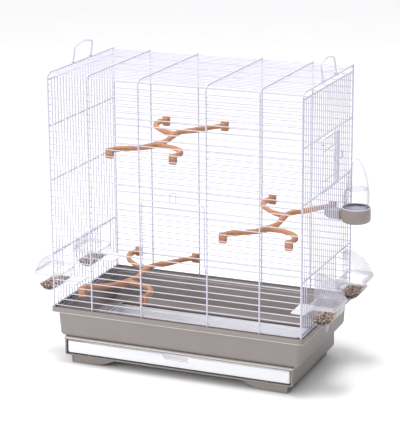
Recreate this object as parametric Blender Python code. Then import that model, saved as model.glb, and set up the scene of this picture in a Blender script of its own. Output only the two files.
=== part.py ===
"""A wire bird cage on a moulded base: wirework, doors, feeders, drinker, perches, tub, drawer and feet.

Metres, +Z up. X runs along the cage's width, -Y is its front with the large door, and z = 0 is
the surface that the feet stand on. The origin is under the middle of the cage.
"""
import math

import bmesh
import bpy
from mathutils import Matrix, Vector

# Driving sizes of the wirework
CAGE_WIDTH = 0.560
CAGE_DEPTH = 0.314
CAGE_HEIGHT = 0.5157
THIN_WIRE = 0.0022
THICK_WIRE = 0.0035
FRAME_WIRE = 0.0028
WIRE_PITCH = 0.0141
SIDE_SPACES = 24
WELD = 0.0005
GAP = 0.0003
BEND_RADIUS = 0.012
BEND_STEPS = 4
SLIM_SHARE = 0.95
SHARPEST_MITRE_SHARE = 0.5
MITRE_SHARE = 0.7
RIB_SHARES = (-1.0, -0.679, -0.268, 0.268, 0.679, 1.0)
FRONT_FIRST_WIRE = 0.0117
BACK_FIRST_WIRE = 0.0167
SIDE_RAIL_SHARES = (0.0178, 0.2428, 0.555, 0.782, 0.973)

# Moulded base, from the floor up
FOOT_HEIGHT = 0.0182
FOOT_WALL = 0.003
FOOT_SIDE_INSET = 0.011
FOOT_FRONT_INSET = 0.004
FOOT_BACK_INSET = 0.012
FOOT_FLAT = 0.054
FOOT_ARCH = 0.052
FOOT_SIDE_FLAT = 0.046
FOOT_SIDE_ARCH = 0.022
FOOT_TAPER = 0.002
ARCH_SHARES = ((1.0, 1.0), (0.78, 0.97), (0.4, 0.8), (0.12, 0.45), (0.0, 0.0))
HOUSING_WIDTH = 0.520
HOUSING_DEPTH = 0.270
HOUSING_HEIGHT = 0.0402
HOUSING_FRONT_INSET = 0.006
HOUSING_WALL = 0.0025
HOUSING_FLANGE = 0.002
HOUSING_FLANGE_HEIGHT = 0.005
DRAWER_CLEARANCE = 0.003
DRAWER_WALL = 0.002
DRAWER_NOTCH = 0.068
DRAWER_NOTCH_DEPTH = 0.0075
DRAWER_NOTCH_SLOPE = 0.006
DRAWER_LIP = 0.0024
RUNNER_SHARE = 0.8
TUB_HEIGHT = 0.0685
TUB_WALL = 0.0025
TUB_DRAFT = 0.0025
TUB_BOTTOM_RADIUS = 0.010
TUB_INSET = 0.004
LIP_HEIGHT = 0.011
LIP_WALL = 0.003
LIP_CLEARANCE = 0.0035
LIP_BEAD = 0.0006
LIP_BEAD_HEIGHT = 0.0015
LIP_ROUND = 0.0009
LIP_CORNER = 0.005
CHANNEL_WIDTH = 0.0095
CHANNEL_WALL_DROP = 0.001
LEDGE_SIDE = 0.025
LEDGE_BACK = 0.036
LEDGE_FRONT = 0.014

# Doors and wire fittings
DOOR_FIRST_WIRE = 9
DOOR_LAST_WIRE = 18
DOOR_SIDE_CLEARANCE = 0.0045
DOOR_CORNER = 0.008
DOOR_EYE_SHIFT = 0.0015
DOOR_RISE = 0.001
PULL_WIDTH = 0.014
PULL_REACH = 0.012
SIDE_DOOR_FIRST = -3
SIDE_DOOR_LAST = 4
SIDE_DOOR_OVERLAP = 0.0028
SIDE_DOOR_HEAD_ROOM = 0.006
SIDE_DOOR_WIRE_SHARES = (0.22, 0.78)
SIDE_EYE_SHARES = (0.1, 0.9)
LATCH_LENGTH = 0.049
LATCH_HEIGHT = 0.015
LATCH_OVERHANG = 0.018
LATCH_HEIGHT_SHARE = 0.52
HANDLE_WIRE = 0.003
HANDLE_HEIGHT = 0.0425
HANDLE_ARCH_RISE = 0.006
HANDLE_CORNER = 0.009
HANDLE_LEAN = 8.0
HANDLE_FIRST_SPACE = 7
HANDLE_SPACES = 6
CLIP_LEG_SPAN = 0.0088
CLIP_DROP = 0.030
CLIP_TUCK = 0.0012
CLIP_SHOULDER_SHARE = 0.8
CLIP_UPRIGHT = -1

# Perches
PERCH_WIRE_NUMBERS = (24, 13, 2)
PERCH_PLACE_SHARES = (-0.275, 0.625, -0.532)
PERCH_SPREAD = 0.070
PERCH_DIAMETER = 0.012
PERCH_SIDES = 8
TWIG_SHARE = 0.93
HANDLE_CROWN_SHARES = (0.5, 0.0, -0.5)
CAP_WIDTH = 0.017
CAP_HEIGHT = 0.021
CAP_DEPTH = 0.009
CAP_BELOW_WIRE = 0.0052
CAP_BEVEL = 0.003
CAP_TONGUE = 0.0018
BRANCH_ABOVE_WIRE = 0.0095
PERCH_MAIN_SHARES = (
    (-0.97, -1.0), (-0.97, -0.96), (-0.84, -0.86), (-0.51, -0.76), (-0.17, -0.613), (0.03, -0.413),
    (0.10, -0.187), (0.03, 0.12), (0.07, 0.367), (0.40, 0.547), (0.74, 0.80), (0.97, 0.96), (0.97, 1.0),
)
PERCH_BACK_SHARES = (
    (0.05, 0.235), (-0.23, 0.253), (-0.66, 0.40), (-1.0, 0.613), (-1.1, 0.84), (-1.03, 0.96), (-1.03, 1.0),
)
PERCH_FRONT_SHARES = (
    (0.05, -0.46), (0.457, -0.507), (0.857, -0.613), (1.086, -0.80), (1.07, -0.96), (1.07, -1.0),
)

# Feeders
FEEDER_FIRST_SPACE = 5
FEEDER_LAST_SPACE = 9
FEEDER_WIDTH = 0.081
FEEDER_DEPTH = 0.061
FEEDER_BOWL_HEIGHT = 0.037
FEEDER_BELOW_RAIL = 0.061
FEEDER_FLANGE = 0.003
FEEDER_FLANGE_HEIGHT = 0.0038
FEEDER_HOOD_TOP = 0.005
FEEDER_WALL = 0.0018
FEEDER_CORNER = 0.004
FEEDER_BOWL_ANGLES = (75.0, 55.0, 35.0, 15.0)
HOOD_STEPS = 7
HOOD_ROUNDNESS_SHARE = 0.9
FEEDER_HOOK_WIDTH = 0.004
SILL_BELOW_RAIL = 0.079
SILL_WIDTH = 0.064
SILL_DEPTH = 0.0315
SILL_THICKNESS = 0.002
SILL_TONGUE_WIDTH = 0.030

# Drinker
DRINKER_SPACE = 7
CUP_DIAMETER = 0.062
CUP_HEIGHT = 0.0327
CUP_BELOW_RAIL = 0.094
CUP_WALL = 0.002
CUP_ROUND = 0.007
CUP_SIDES = 24
TROUGH_WIDTH = 0.0215
TROUGH_REACH = 0.036
TROUGH_BOTTOM = 0.0046
TROUGH_TOP_DROP = 0.0087
TROUGH_NOSE = 0.006
BOTTLE_RADIUS = 0.0285
BOTTLE_NECK_SHARE = 0.91
BOTTLE_MOUTH_SHARE = 0.62
BOTTLE_MOUTH_HEIGHT = 0.007
BOTTLE_WALL = 0.0015
BOTTLE_BODY = 0.032
BOTTLE_HEIGHT = 0.105
BOTTLE_FLOAT = 0.0003
BOTTLE_BACK_SHARE = 0.56
BOTTLE_FLAT_SHARE = 1.3
BOTTLE_FRONT_SHARES = ((0.15, 1.0), (0.30, 0.97), (0.53, 0.87), (0.74, 0.66), (0.90, 0.40), (1.0, 0.12))
BOTTLE_SIDE_SHARES = (1.0, 0.98, 0.90, 0.72, 0.48, 0.24)

# Values that follow from the sizes above
OVERRUN = 0.005
half_width = CAGE_WIDTH / 2
half_depth = CAGE_DEPTH / 2
thin = THIN_WIRE / 2
thick = THICK_WIRE / 2
frame = FRAME_WIRE / 2
step_in = thick + thin - WELD
side_pitch = CAGE_DEPTH / SIDE_SPACES
housing_low = FOOT_HEIGHT + GAP
housing_top = housing_low + HOUSING_HEIGHT
tub_low = housing_top + GAP
rim_top = tub_low + TUB_HEIGHT
lip_low = rim_top - LIP_HEIGHT
channel_floor = lip_low + TUB_WALL
cage_foot = channel_floor + GAP
roof_z = cage_foot + CAGE_HEIGHT
bend_z = roof_z - BEND_RADIUS - THICK_WIRE - GAP
rib_places = [share * half_width for share in RIB_SHARES]
door_rib = rib_places[3]
front_y = -half_depth + step_in
back_y = half_depth - step_in
rail_z = [cage_foot + share * CAGE_HEIGHT for share in SIDE_RAIL_SHARES]
side_x = half_width - step_in
outside_x = half_width + thick + GAP

for leftover in list(bpy.data.objects):
    bpy.data.objects.remove(leftover)


def srgb(red, green, blue):
    """A colour given as 0 to 255 on screen, as the linear values that a shader takes."""
    linear = [((c / 255 + 0.055) / 1.055) ** 2.4 for c in (red, green, blue)]
    return (*linear, 1.0)


def make_material(name, colour, roughness, metallic=0.0, alpha=1.0):
    material = bpy.data.materials.new(name)
    material.use_nodes = True
    shader = material.node_tree.nodes["Principled BSDF"]
    shader.inputs["Base Color"].default_value = colour
    shader.inputs["Roughness"].default_value = roughness
    shader.inputs["Metallic"].default_value = metallic
    shader.inputs["Alpha"].default_value = alpha
    return material


WHITE_WIRE = make_material("white_wire", srgb(240, 240, 243), 0.35)
TAUPE = make_material("taupe_plastic", srgb(156, 149, 147), 0.45)
WHITE = make_material("white_plastic", srgb(240, 240, 242), 0.4)
CLEAR = make_material("clear_plastic", srgb(235, 240, 242), 0.08, alpha=0.35)
PERCH = make_material("perch_plastic", srgb(190, 120, 80), 0.55)
CUP = make_material("cup_plastic", srgb(140, 128, 122), 0.45)


def add_object(name, bm, material=None):
    """A finished shape as an object. One without a material is a cutter or an operand, and is hidden."""
    bmesh.ops.recalc_face_normals(bm, faces=bm.faces)
    mesh = bpy.data.meshes.new(name)
    bm.to_mesh(mesh)
    bm.free()
    obj = bpy.data.objects.new(name, mesh)
    bpy.context.scene.collection.objects.link(obj)
    if material:
        mesh.materials.append(material)
        mesh.shade_smooth()
        mesh.set_sharp_from_angle(angle=math.radians(30))
    else:
        obj.hide_render = True
        obj.display_type = "WIRE"
    return obj


def combine(obj, bm, operation):
    """Joins a shape to an object, or cuts it out of it."""
    other = add_object(f"{obj.name}_{operation.lower()}_{len(obj.modifiers)}", bm)
    modifier = obj.modifiers.new(other.name, "BOOLEAN")
    modifier.operation = operation
    modifier.object = other
    return other


def sweep(points, radius, up, sides=4, closed=False, bm=None):
    """A wire of even thickness along the points, with two of its ridges along up."""
    bm = bm or bmesh.new()
    points = [Vector(p) for p in points]
    up = Vector(up).normalized()
    rings = []
    for i, point in enumerate(points):
        before = points[i - 1] if i or closed else None
        after = points[(i + 1) % len(points)] if i + 1 < len(points) or closed else None
        inward = (point - before).normalized() if before else (after - point).normalized()
        outward = (after - point).normalized() if after else inward
        along = (inward + outward).normalized()
        up = (up - along * up.dot(along)).normalized()
        side = along.cross(up)
        widen = 1 / max(along.dot(outward), SHARPEST_MITRE_SHARE)
        bend = (outward - inward).normalized()
        turn_up = widen if abs(bend.dot(up)) > MITRE_SHARE else 1.0
        turn_side = widen if abs(bend.dot(side)) > MITRE_SHARE else 1.0
        ring = []
        for k in range(sides):
            angle = 2 * math.pi * k / sides
            offset = up * math.cos(angle) * turn_up + side * math.sin(angle) * turn_side
            ring.append(bm.verts.new(point + offset * radius))
        rings.append(ring)
    join_rings(bm, rings, closed)
    return bm


def join_rings(bm, rings, closed):
    """Faces between each ring of points and the next, with both ends filled unless it is closed."""
    pairs = list(zip(rings, rings[1:]))
    if closed:
        pairs.append((rings[-1], rings[0]))
    for first, second in pairs:
        for i in range(len(first)):
            j = (i + 1) % len(first)
            bm.faces.new((first[i], first[j], second[j], second[i]))
    if not closed:
        bm.faces.new(rings[0])
        bm.faces.new(rings[-1])


def loft(outlines, closed=False, bm=None):
    """A skin through outlines that each have the same number of points."""
    bm = bm or bmesh.new()
    rings = [[bm.verts.new(point) for point in outline] for outline in outlines]
    join_rings(bm, rings, closed)
    return bm


def rounded_rectangle(x0, x1, y0, y1, z, corner, steps):
    points = []
    centres = ((x1, y1, -1, -1, 0), (x0, y1, 1, -1, 90), (x0, y0, 1, 1, 180), (x1, y0, -1, 1, 270))
    for x, y, inward_x, inward_y, start in centres:
        for step in range(steps + 1):
            angle = math.radians(start + 90 * step / steps)
            across = x + inward_x * corner + corner * math.cos(angle)
            points.append((across, y + inward_y * corner + corner * math.sin(angle), z))
    return points


def box(x0, x1, y0, y1, z0, z1, bm=None):
    corners = [((x0, y0), (x1, y0), (x1, y1), (x0, y1))]
    return loft([[(x, y, z) for x, y in corners[0]] for z in (z0, z1)], bm=bm)


def prism(outline, axis, start, end, bm=None):
    """An outline given in the two directions across an axis, drawn out along that axis."""
    places = []
    for along in (start, end):
        if axis == "x":
            places.append([(along, a, b) for a, b in outline])
        elif axis == "y":
            places.append([(a, along, b) for a, b in outline])
        else:
            places.append([(a, b, along) for a, b in outline])
    return loft(places, bm=bm)


def circle(centre, radius, axis, sides):
    """Points of a closed ring about the X, Y or Z direction."""
    points = []
    for k in range(sides):
        angle = 2 * math.pi * k / sides
        a = radius * math.cos(angle)
        b = radius * math.sin(angle)
        offset = {"x": (0, a, b), "y": (a, 0, b), "z": (a, b, 0)}[axis]
        points.append(Vector(centre) + Vector(offset))
    return points


def eye(centre, hole, wire, axis):
    """A wire bent into a closed eye with a given hole radius."""
    up = {"x": (1, 0, 0), "y": (0, 1, 0), "z": (0, 0, 1)}[axis]
    return sweep(circle(centre, (hole + wire) / math.cos(math.pi / 8), axis, 8), wire, up, closed=True)


def hang(name, pivot, *pieces):
    """An empty on a joint's axis, with the pieces that turn or slide on it."""
    empty = bpy.data.objects.new(name, None)
    bpy.context.scene.collection.objects.link(empty)
    empty.location = pivot
    for piece in pieces:
        piece.data.transform(Matrix.Translation(-Vector(pivot)))
        piece.parent = empty
    return empty


# Wirework
def wire_heights(first, ceiling):
    count = int((ceiling - cage_foot - first) / WIRE_PITCH) + 1
    return [cage_foot + first + WIRE_PITCH * k for k in range(count)]


front_wires = wire_heights(FRONT_FIRST_WIRE, bend_z - thin - GAP)
back_wires = wire_heights(BACK_FIRST_WIRE, roof_z - step_in - 2 * thin - GAP)
doorway_low = front_wires[DOOR_FIRST_WIRE - 1]
doorway_top = front_wires[DOOR_LAST_WIRE + 1]
wire_end = half_width + thick / 2


def build_front():
    wires = bmesh.new()
    for z in front_wires:
        ends = [(-wire_end, wire_end)]
        if doorway_low + thin < z < doorway_top - thin:
            ends = [(-wire_end, -door_rib + thick / 2), (door_rib - thick / 2, wire_end)]
        for x0, x1 in ends:
            sweep(((x0, front_y, z), (x1, front_y, z)), thin, (0, 1, 0), bm=wires)
    grille = add_object("front_grille", wires, WHITE_WIRE)
    ribs = bmesh.new()
    for x in rib_places:
        sweep(((x, -half_depth, cage_foot), (x, -half_depth, bend_z)), thick, (0, 1, 0), bm=ribs)
    combine(grille, ribs, "UNION")


def build_back():
    wires = bmesh.new()
    for z in back_wires:
        sweep(((-wire_end, back_y, z), (wire_end, back_y, z)), thin, (0, 1, 0), bm=wires)
    grille = add_object("back_grille", wires, WHITE_WIRE)
    ribs = bmesh.new()
    for x in rib_places:
        top = roof_z - thick - GAP
        sweep(((x, half_depth, cage_foot), (x, half_depth, top)), thick, (0, 1, 0), bm=ribs)
    combine(grille, ribs, "UNION")


roof_first_y = -half_depth + BEND_RADIUS
roof_last_y = half_depth - WIRE_PITCH / 2
roof_spaces = round((roof_last_y - roof_first_y) / WIRE_PITCH)
roof_pitch = (roof_last_y - roof_first_y) / roof_spaces
roof_wires = [roof_first_y + roof_pitch * k for k in range(roof_spaces + 1)]


def build_roof():
    wires = bmesh.new()
    for y in roof_wires:
        z = roof_z - step_in
        sweep(((-wire_end, y, z), (wire_end, y, z)), thin, (0, 0, 1), bm=wires)
    slant = (BEND_RADIUS - step_in) * math.sqrt(0.5)
    bend_y = roof_first_y - slant
    bend_height = roof_z - BEND_RADIUS + slant
    bend_ends = ((-wire_end, bend_y, bend_height), (wire_end, bend_y, bend_height))
    sweep(bend_ends, thin, (0, -1, 1), bm=wires)
    grille = add_object("roof_grille", wires, WHITE_WIRE)
    ribs = bmesh.new()
    for x in rib_places:
        path = [(x, -half_depth, bend_z + GAP)]
        for step in range(BEND_STEPS + 1):
            angle = math.radians(90 * step / BEND_STEPS)
            y = roof_first_y - BEND_RADIUS * math.cos(angle)
            path.append((x, y, roof_z - BEND_RADIUS + BEND_RADIUS * math.sin(angle)))
        path.append((x, half_depth + thick, roof_z))
        sweep(path, thick, (1, 0, 0), bm=ribs)
    combine(grille, ribs, "UNION")


feeder_y = side_pitch * (FEEDER_FIRST_SPACE + FEEDER_LAST_SPACE) / 2
sill_z = rail_z[1] - SILL_BELOW_RAIL
sill_x = side_x + 2 * thin - WELD
drinker_y = side_pitch * DRINKER_SPACE
cup_low = rail_z[2] - CUP_BELOW_RAIL
cup_top = cup_low + CUP_HEIGHT
trough_low = cup_low + TROUGH_BOTTOM
trough_top = cup_top - TROUGH_TOP_DROP
drinker_gate_low = trough_low - GAP - thin
drinker_gate_top = trough_top + 2 * thin
side_door_x = outside_x + frame
side_door_front = side_pitch * SIDE_DOOR_FIRST - SIDE_DOOR_OVERLAP
side_door_back = side_pitch * SIDE_DOOR_LAST + SIDE_DOOR_OVERLAP
side_door_low = rail_z[2]
side_door_top = rail_z[3] - SIDE_DOOR_HEAD_ROOM
side_eye_z = [
    side_door_low + share * (side_door_top - side_door_low) for share in SIDE_EYE_SHARES
]


def openings_at(side, number):
    """Heights over which one upright of a side panel is cut away."""
    found = []
    if FEEDER_FIRST_SPACE < abs(number) < FEEDER_LAST_SPACE:
        found.append((sill_z, rail_z[1]))
    if side > 0 and number == DRINKER_SPACE:
        found.append((drinker_gate_low, drinker_gate_top))
    if side > 0 and SIDE_DOOR_FIRST < number < SIDE_DOOR_LAST:
        found.append((rail_z[2], rail_z[3]))
    return found


def build_side(name, side):
    uprights = bmesh.new()
    top = rail_z[-1] + thick / 2
    x = side * side_x
    for number in range(1 - SIDE_SPACES // 2, SIDE_SPACES // 2):
        y = side_pitch * number
        low = cage_foot
        for opening_low, opening_top in openings_at(side, number):
            end = opening_low + thin / 2
            sweep(((x, y, low), (x, y, end)), thin, (1, 0, 0), bm=uprights)
            low = opening_top - thin / 2
        sweep(((x, y, low), (x, y, top)), thin, (1, 0, 0), bm=uprights)
    grille = add_object(name, uprights, WHITE_WIRE)
    rails = bmesh.new()
    rail_end = half_depth - step_in - thin - GAP
    for z in rail_z:
        rail = ((side * half_width, -rail_end, z), (side * half_width, rail_end, z))
        sweep(rail, thick, (1, 0, 0), bm=rails)
    stubs = []
    for end in (-1, 1):
        y0 = end * side_pitch * FEEDER_FIRST_SPACE - end * thin / 2
        y1 = end * side_pitch * FEEDER_LAST_SPACE + end * thin / 2
        stubs.append((y0, y1, sill_z))
    if side > 0:
        for z in (drinker_gate_low, drinker_gate_top):
            reach = side_pitch + thin / 2
            stubs.append((drinker_y - reach, drinker_y + reach, z))
    for y0, y1, z in stubs:
        sweep(((side * sill_x, y0, z), (side * sill_x, y1, z)), thin, (1, 0, 0), bm=rails)
    combine(grille, rails, "UNION")
    if side > 0:
        add_side_door_eyes(grille)


def add_side_door_eyes(grille):
    """Eyes curled from wire ends that are welded to an upright, round the door's edge wire."""
    upright_y = side_pitch * SIDE_DOOR_FIRST
    for z in side_eye_z:
        combine(grille, eye((side_door_x, side_door_front, z), frame + GAP, thin, "z"), "UNION")
        start = (side_x, upright_y, z)
        end = (side_door_x - frame - GAP - thin, upright_y - thin, z)
        combine(grille, sweep((start, end), thin * SLIM_SHARE, (0, 0, 1)), "UNION")


# Front door, hinged at its foot on a wire of the front
door_y = -half_depth - DOOR_RISE
door_half = door_rib - thick - DOOR_SIDE_CLEARANCE + frame
door_low = doorway_low
door_top = front_wires[DOOR_LAST_WIRE]


def arc_corner(x, z, radius, start, steps=3):
    return [
        (x + radius * math.cos(math.radians(start + 90 * k / steps)),
         z + radius * math.sin(math.radians(start + 90 * k / steps)))
        for k in range(steps + 1)
    ]


def build_front_door():
    eye_x = door_half + DOOR_EYE_SHIFT
    knee = door_low + WIRE_PITCH
    shoulder = door_top - DOOR_CORNER
    outline = [(eye_x, door_low + frame * 2), (door_half, knee)]
    outline += arc_corner(door_half - DOOR_CORNER, shoulder, DOOR_CORNER, 0)
    outline += [(-x, z) for x, z in reversed(outline)]
    path = [(x, door_y, z) for x, z in outline]
    door = add_object("front_door", sweep(path, frame, (0, 1, 0)), WHITE_WIRE)
    hole = thin + GAP
    for side in (-1, 1):
        centre = (side * eye_x, front_y, door_low)
        combine(door, eye(centre, hole, frame * SLIM_SHARE, "x"), "UNION")
        start = (side * eye_x, door_y, door_low + frame * 3)
        end = (side * eye_x, front_y - hole - frame, door_low)
        combine(door, sweep((start, end), frame * SLIM_SHARE * SLIM_SHARE, (1, 0, 0)), "UNION")
    wires = bmesh.new()
    wire_y = door_y + frame + thin - WELD
    for z in front_wires[DOOR_FIRST_WIRE:DOOR_LAST_WIRE]:
        reach = door_half + frame / 2
        sweep(((-reach, wire_y, z), (reach, wire_y, z)), thin, (0, 1, 0), bm=wires)
    combine(door, wires, "UNION")
    combine(door, pull_loop(), "UNION")
    hang("front_door_axis", (0, front_y, door_low), door)


def pull_loop():
    """The finger loop: two legs in front of the wire above the door, bent in over it."""
    half = PULL_WIDTH / 2
    bend = doorway_top + 2 * thin + GAP + thin / 2
    path = [(-half, door_y, door_top), (-half, door_y, bend)]
    for step in range(1, 8):
        angle = math.pi * (1 - step / 8)
        path.append((half * math.cos(angle), door_y + PULL_REACH * math.sin(angle), bend + thin / 2))
    path += [(half, door_y, bend), (half, door_y, door_top)]
    return sweep(path, thin, (0, 1, 0))


# Side door on the right, hinged at its front edge, and its latch
def build_side_door():
    corners = (
        (side_door_front, side_door_low), (side_door_back, side_door_low),
        (side_door_back, side_door_top), (side_door_front, side_door_top),
    )
    path = [(side_door_x, y, z) for y, z in corners]
    door = add_object("side_door", sweep(path, frame, (1, 0, 0), closed=True), WHITE_WIRE)
    wires = bmesh.new()
    thin_x = side_door_x + frame + thin - WELD
    for number in range(SIDE_DOOR_FIRST + 1, SIDE_DOOR_LAST):
        y = side_pitch * number
        ends = ((side_door_x, y, side_door_low), (side_door_x, y, side_door_top))
        sweep(ends, thin, (1, 0, 0), bm=wires)
    combine(door, wires, "UNION")
    rails = bmesh.new()
    for share in SIDE_DOOR_WIRE_SHARES:
        z = side_door_low + share * (side_door_top - side_door_low)
        ends = ((thin_x, side_door_front, z), (thin_x, side_door_back, z))
        sweep(ends, thin, (1, 0, 0), bm=rails)
    combine(door, rails, "UNION")
    hang("side_door_axis", (side_door_x, side_door_front, 0), door)


latch_x = side_door_x + frame + thin + GAP
latch_end = side_door_back + LATCH_OVERHANG
latch_z = side_door_low + LATCH_HEIGHT_SHARE * (side_door_top - side_door_low)


def build_side_latch():
    half = LATCH_HEIGHT / 2
    corner = LATCH_HEIGHT / 3
    start = latch_end - LATCH_LENGTH
    outline = rounded_rectangle(start, latch_end, latch_z - half, latch_z + half, 0, corner, 2)
    path = [(latch_x, y, z) for y, z, _ in outline]
    latch = add_object("side_door_latch", sweep(path, thin, (1, 0, 0), closed=True), WHITE_WIRE)
    hang("side_door_latch_axis", (latch_x, latch_end, latch_z), latch)


# Carry handles, one on each side edge of the roof
handle = HANDLE_WIRE / 2
handle_front = (roof_wires[HANDLE_FIRST_SPACE] + roof_wires[HANDLE_FIRST_SPACE + 1]) / 2
handle_back = handle_front + HANDLE_SPACES * roof_pitch


def build_handle(name, side):
    foot = handle / 2 + thick + GAP
    shoulder = HANDLE_HEIGHT - HANDLE_ARCH_RISE - HANDLE_CORNER
    corner_y = handle_back - HANDLE_CORNER
    half = [(handle_back, foot), (handle_back, shoulder)]
    half += arc_corner(corner_y, shoulder, HANDLE_CORNER, 0)[1:]
    middle = (handle_front + handle_back) / 2
    crown = []
    for share in HANDLE_CROWN_SHARES:
        rise = HANDLE_ARCH_RISE * (1 - share * share)
        crown.append((middle + share * (corner_y - middle), HANDLE_HEIGHT - HANDLE_ARCH_RISE + rise))
    rest = [(2 * middle - y, z) for y, z in reversed(half)]
    path = [(0, y, z) for y, z in half + crown + rest]
    bow = add_object(name, sweep(path, handle, (1, 0, 0)), WHITE_WIRE)
    helpers = []
    for y in (handle_front, handle_back):
        ring = eye((0, y, 0), thick + GAP, handle * SLIM_SHARE, "y")
        helpers.append(combine(bow, ring, "UNION"))
    lean = Matrix.Rotation(math.radians(-side * HANDLE_LEAN), 4, "Y")
    seat = Matrix.Translation((side * half_width, 0, roof_z))
    for piece in (bow, *helpers):
        piece.data.transform(seat @ lean)
    hang(f"{name}_axis", (side * half_width, 0, roof_z), bow)


# Wire clips that hold the wirework down on the tub
clip_y = side_pitch * CLIP_UPRIGHT


def build_clip(name, side):
    """Two legs that hook over the lowest rail from inside, go over the tub's lip and join at the foot."""
    hook = (thick + GAP + thin) / math.cos(math.radians(20))
    over = half_width + LIP_CLEARANCE + LIP_WALL + LIP_BEAD + GAP + thin
    low = rim_top - CLIP_DROP
    path = [
        (half_width + hook * math.cos(math.radians(angle)), rail_z[0] + hook * math.sin(math.radians(angle)))
        for angle in (180, 140, 100, 60)
    ]
    path += [
        (over - hook, rail_z[0] + hook * CLIP_SHOULDER_SHARE), (over, rim_top),
        (over, lip_low), (over - CLIP_TUCK, low),
    ]
    clip = None
    for end in (-1, 1):
        y = clip_y + end * CLIP_LEG_SPAN / 2
        leg = sweep([(side * x, y, z) for x, z in path], thin, (0, 1, 0))
        if clip:
            combine(clip, leg, "UNION")
        else:
            clip = add_object(name, leg, WHITE_WIRE)
    reach = CLIP_LEG_SPAN / 2 + thin / 2
    bar_x = side * (over - CLIP_TUCK)
    bar_ends = ((bar_x, clip_y - reach, low), (bar_x, clip_y + reach, low))
    bar = sweep(bar_ends, thin * SLIM_SHARE, (0, 0, 1))
    combine(clip, bar, "UNION")
    hang(f"{name}_axis", (side * half_width, clip_y, rail_z[0]), clip)


# Moulded base
def build_tub():
    """One skin, from the drawer opening's edge out under the tub, over the rim, and down inside."""
    wall_low = -TUB_INSET - TUB_DRAFT
    soft = TUB_BOTTOM_RADIUS * (1 - math.sqrt(0.5))
    lip = LIP_CLEARANCE + LIP_WALL
    channel_in = LIP_CLEARANCE - CHANNEL_WIDTH
    wall_in = channel_in - TUB_WALL
    floor_top = tub_low + TUB_WALL
    inner_top = rim_top - CHANNEL_WALL_DROP
    corner = LIP_CORNER + LIP_WALL
    profile = (
        (wall_low - TUB_BOTTOM_RADIUS, tub_low), (wall_low - soft, tub_low + soft),
        (wall_low, tub_low + TUB_BOTTOM_RADIUS), (-TUB_INSET, lip_low), (lip + LIP_BEAD, lip_low),
        (lip + LIP_BEAD, lip_low + LIP_BEAD_HEIGHT), (lip, lip_low + LIP_BEAD_HEIGHT + LIP_BEAD),
        (lip, rim_top - LIP_ROUND), (lip - LIP_ROUND, rim_top), (LIP_CLEARANCE, rim_top),
        (LIP_CLEARANCE, channel_floor), (channel_in, channel_floor), (channel_in, inner_top),
        (wall_in, inner_top), (wall_in - LIP_BEAD, floor_top),
    )
    outlines = []
    for out, z in profile:
        x = half_width + out
        y = half_depth + out
        radius = max(corner + out - lip, LIP_CORNER)
        outlines.append(rounded_rectangle(-x, x, -y, y, z, radius, 3))
    x = half_width + wall_in - LEDGE_SIDE
    y0 = -half_depth - wall_in + LEDGE_FRONT
    y1 = half_depth + wall_in - LEDGE_BACK
    for z in (floor_top, tub_low):
        outlines.append(rounded_rectangle(-x, x, y0, y1, z, LIP_CORNER, 3))
    return add_object("base_tub", loft(outlines, closed=True), TAUPE)


housing_half = HOUSING_WIDTH / 2
housing_front = -half_depth + HOUSING_FRONT_INSET
housing_back = housing_front + HOUSING_DEPTH
cavity_low = housing_low + HOUSING_WALL
cavity_top = housing_top - HOUSING_FLANGE_HEIGHT - GAP
cavity_half = housing_half - HOUSING_WALL
cavity_back = housing_back - HOUSING_WALL
drawer_low = cavity_low + DRAWER_CLEARANCE
drawer_top = cavity_top - DRAWER_CLEARANCE
drawer_half = cavity_half - DRAWER_CLEARANCE
drawer_back = cavity_back - DRAWER_CLEARANCE


def build_housing():
    flange = HOUSING_FLANGE
    body_top = housing_top - HOUSING_FLANGE_HEIGHT / 2
    shell = box(-housing_half, housing_half, housing_front, housing_back, housing_low, body_top)
    housing = add_object("drawer_housing", shell, TAUPE)
    plate = box(
        -housing_half - flange, housing_half + flange, housing_front - flange, housing_back + flange,
        housing_top - HOUSING_FLANGE_HEIGHT, housing_top,
    )
    combine(housing, plate, "UNION")
    hollow = box(-cavity_half, cavity_half, housing_front - OVERRUN, cavity_back, cavity_low, cavity_top)
    combine(housing, hollow, "DIFFERENCE")
    edge = LEDGE_SIDE / 2
    mouth = box(
        -cavity_half + edge, cavity_half - edge, housing_front + edge, cavity_back - edge / 4,
        cavity_top - OVERRUN, housing_top + OVERRUN,
    )
    combine(housing, mouth, "DIFFERENCE")
    for side in (-1, 1):
        x = side * drawer_half * RUNNER_SHARE
        low = cavity_low - HOUSING_WALL / 2
        runner = box(
            x - HOUSING_WALL, x + HOUSING_WALL, housing_front + HOUSING_WALL, cavity_back + HOUSING_WALL / 2,
            low, drawer_low - GAP,
        )
        combine(housing, runner, "UNION")


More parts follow.
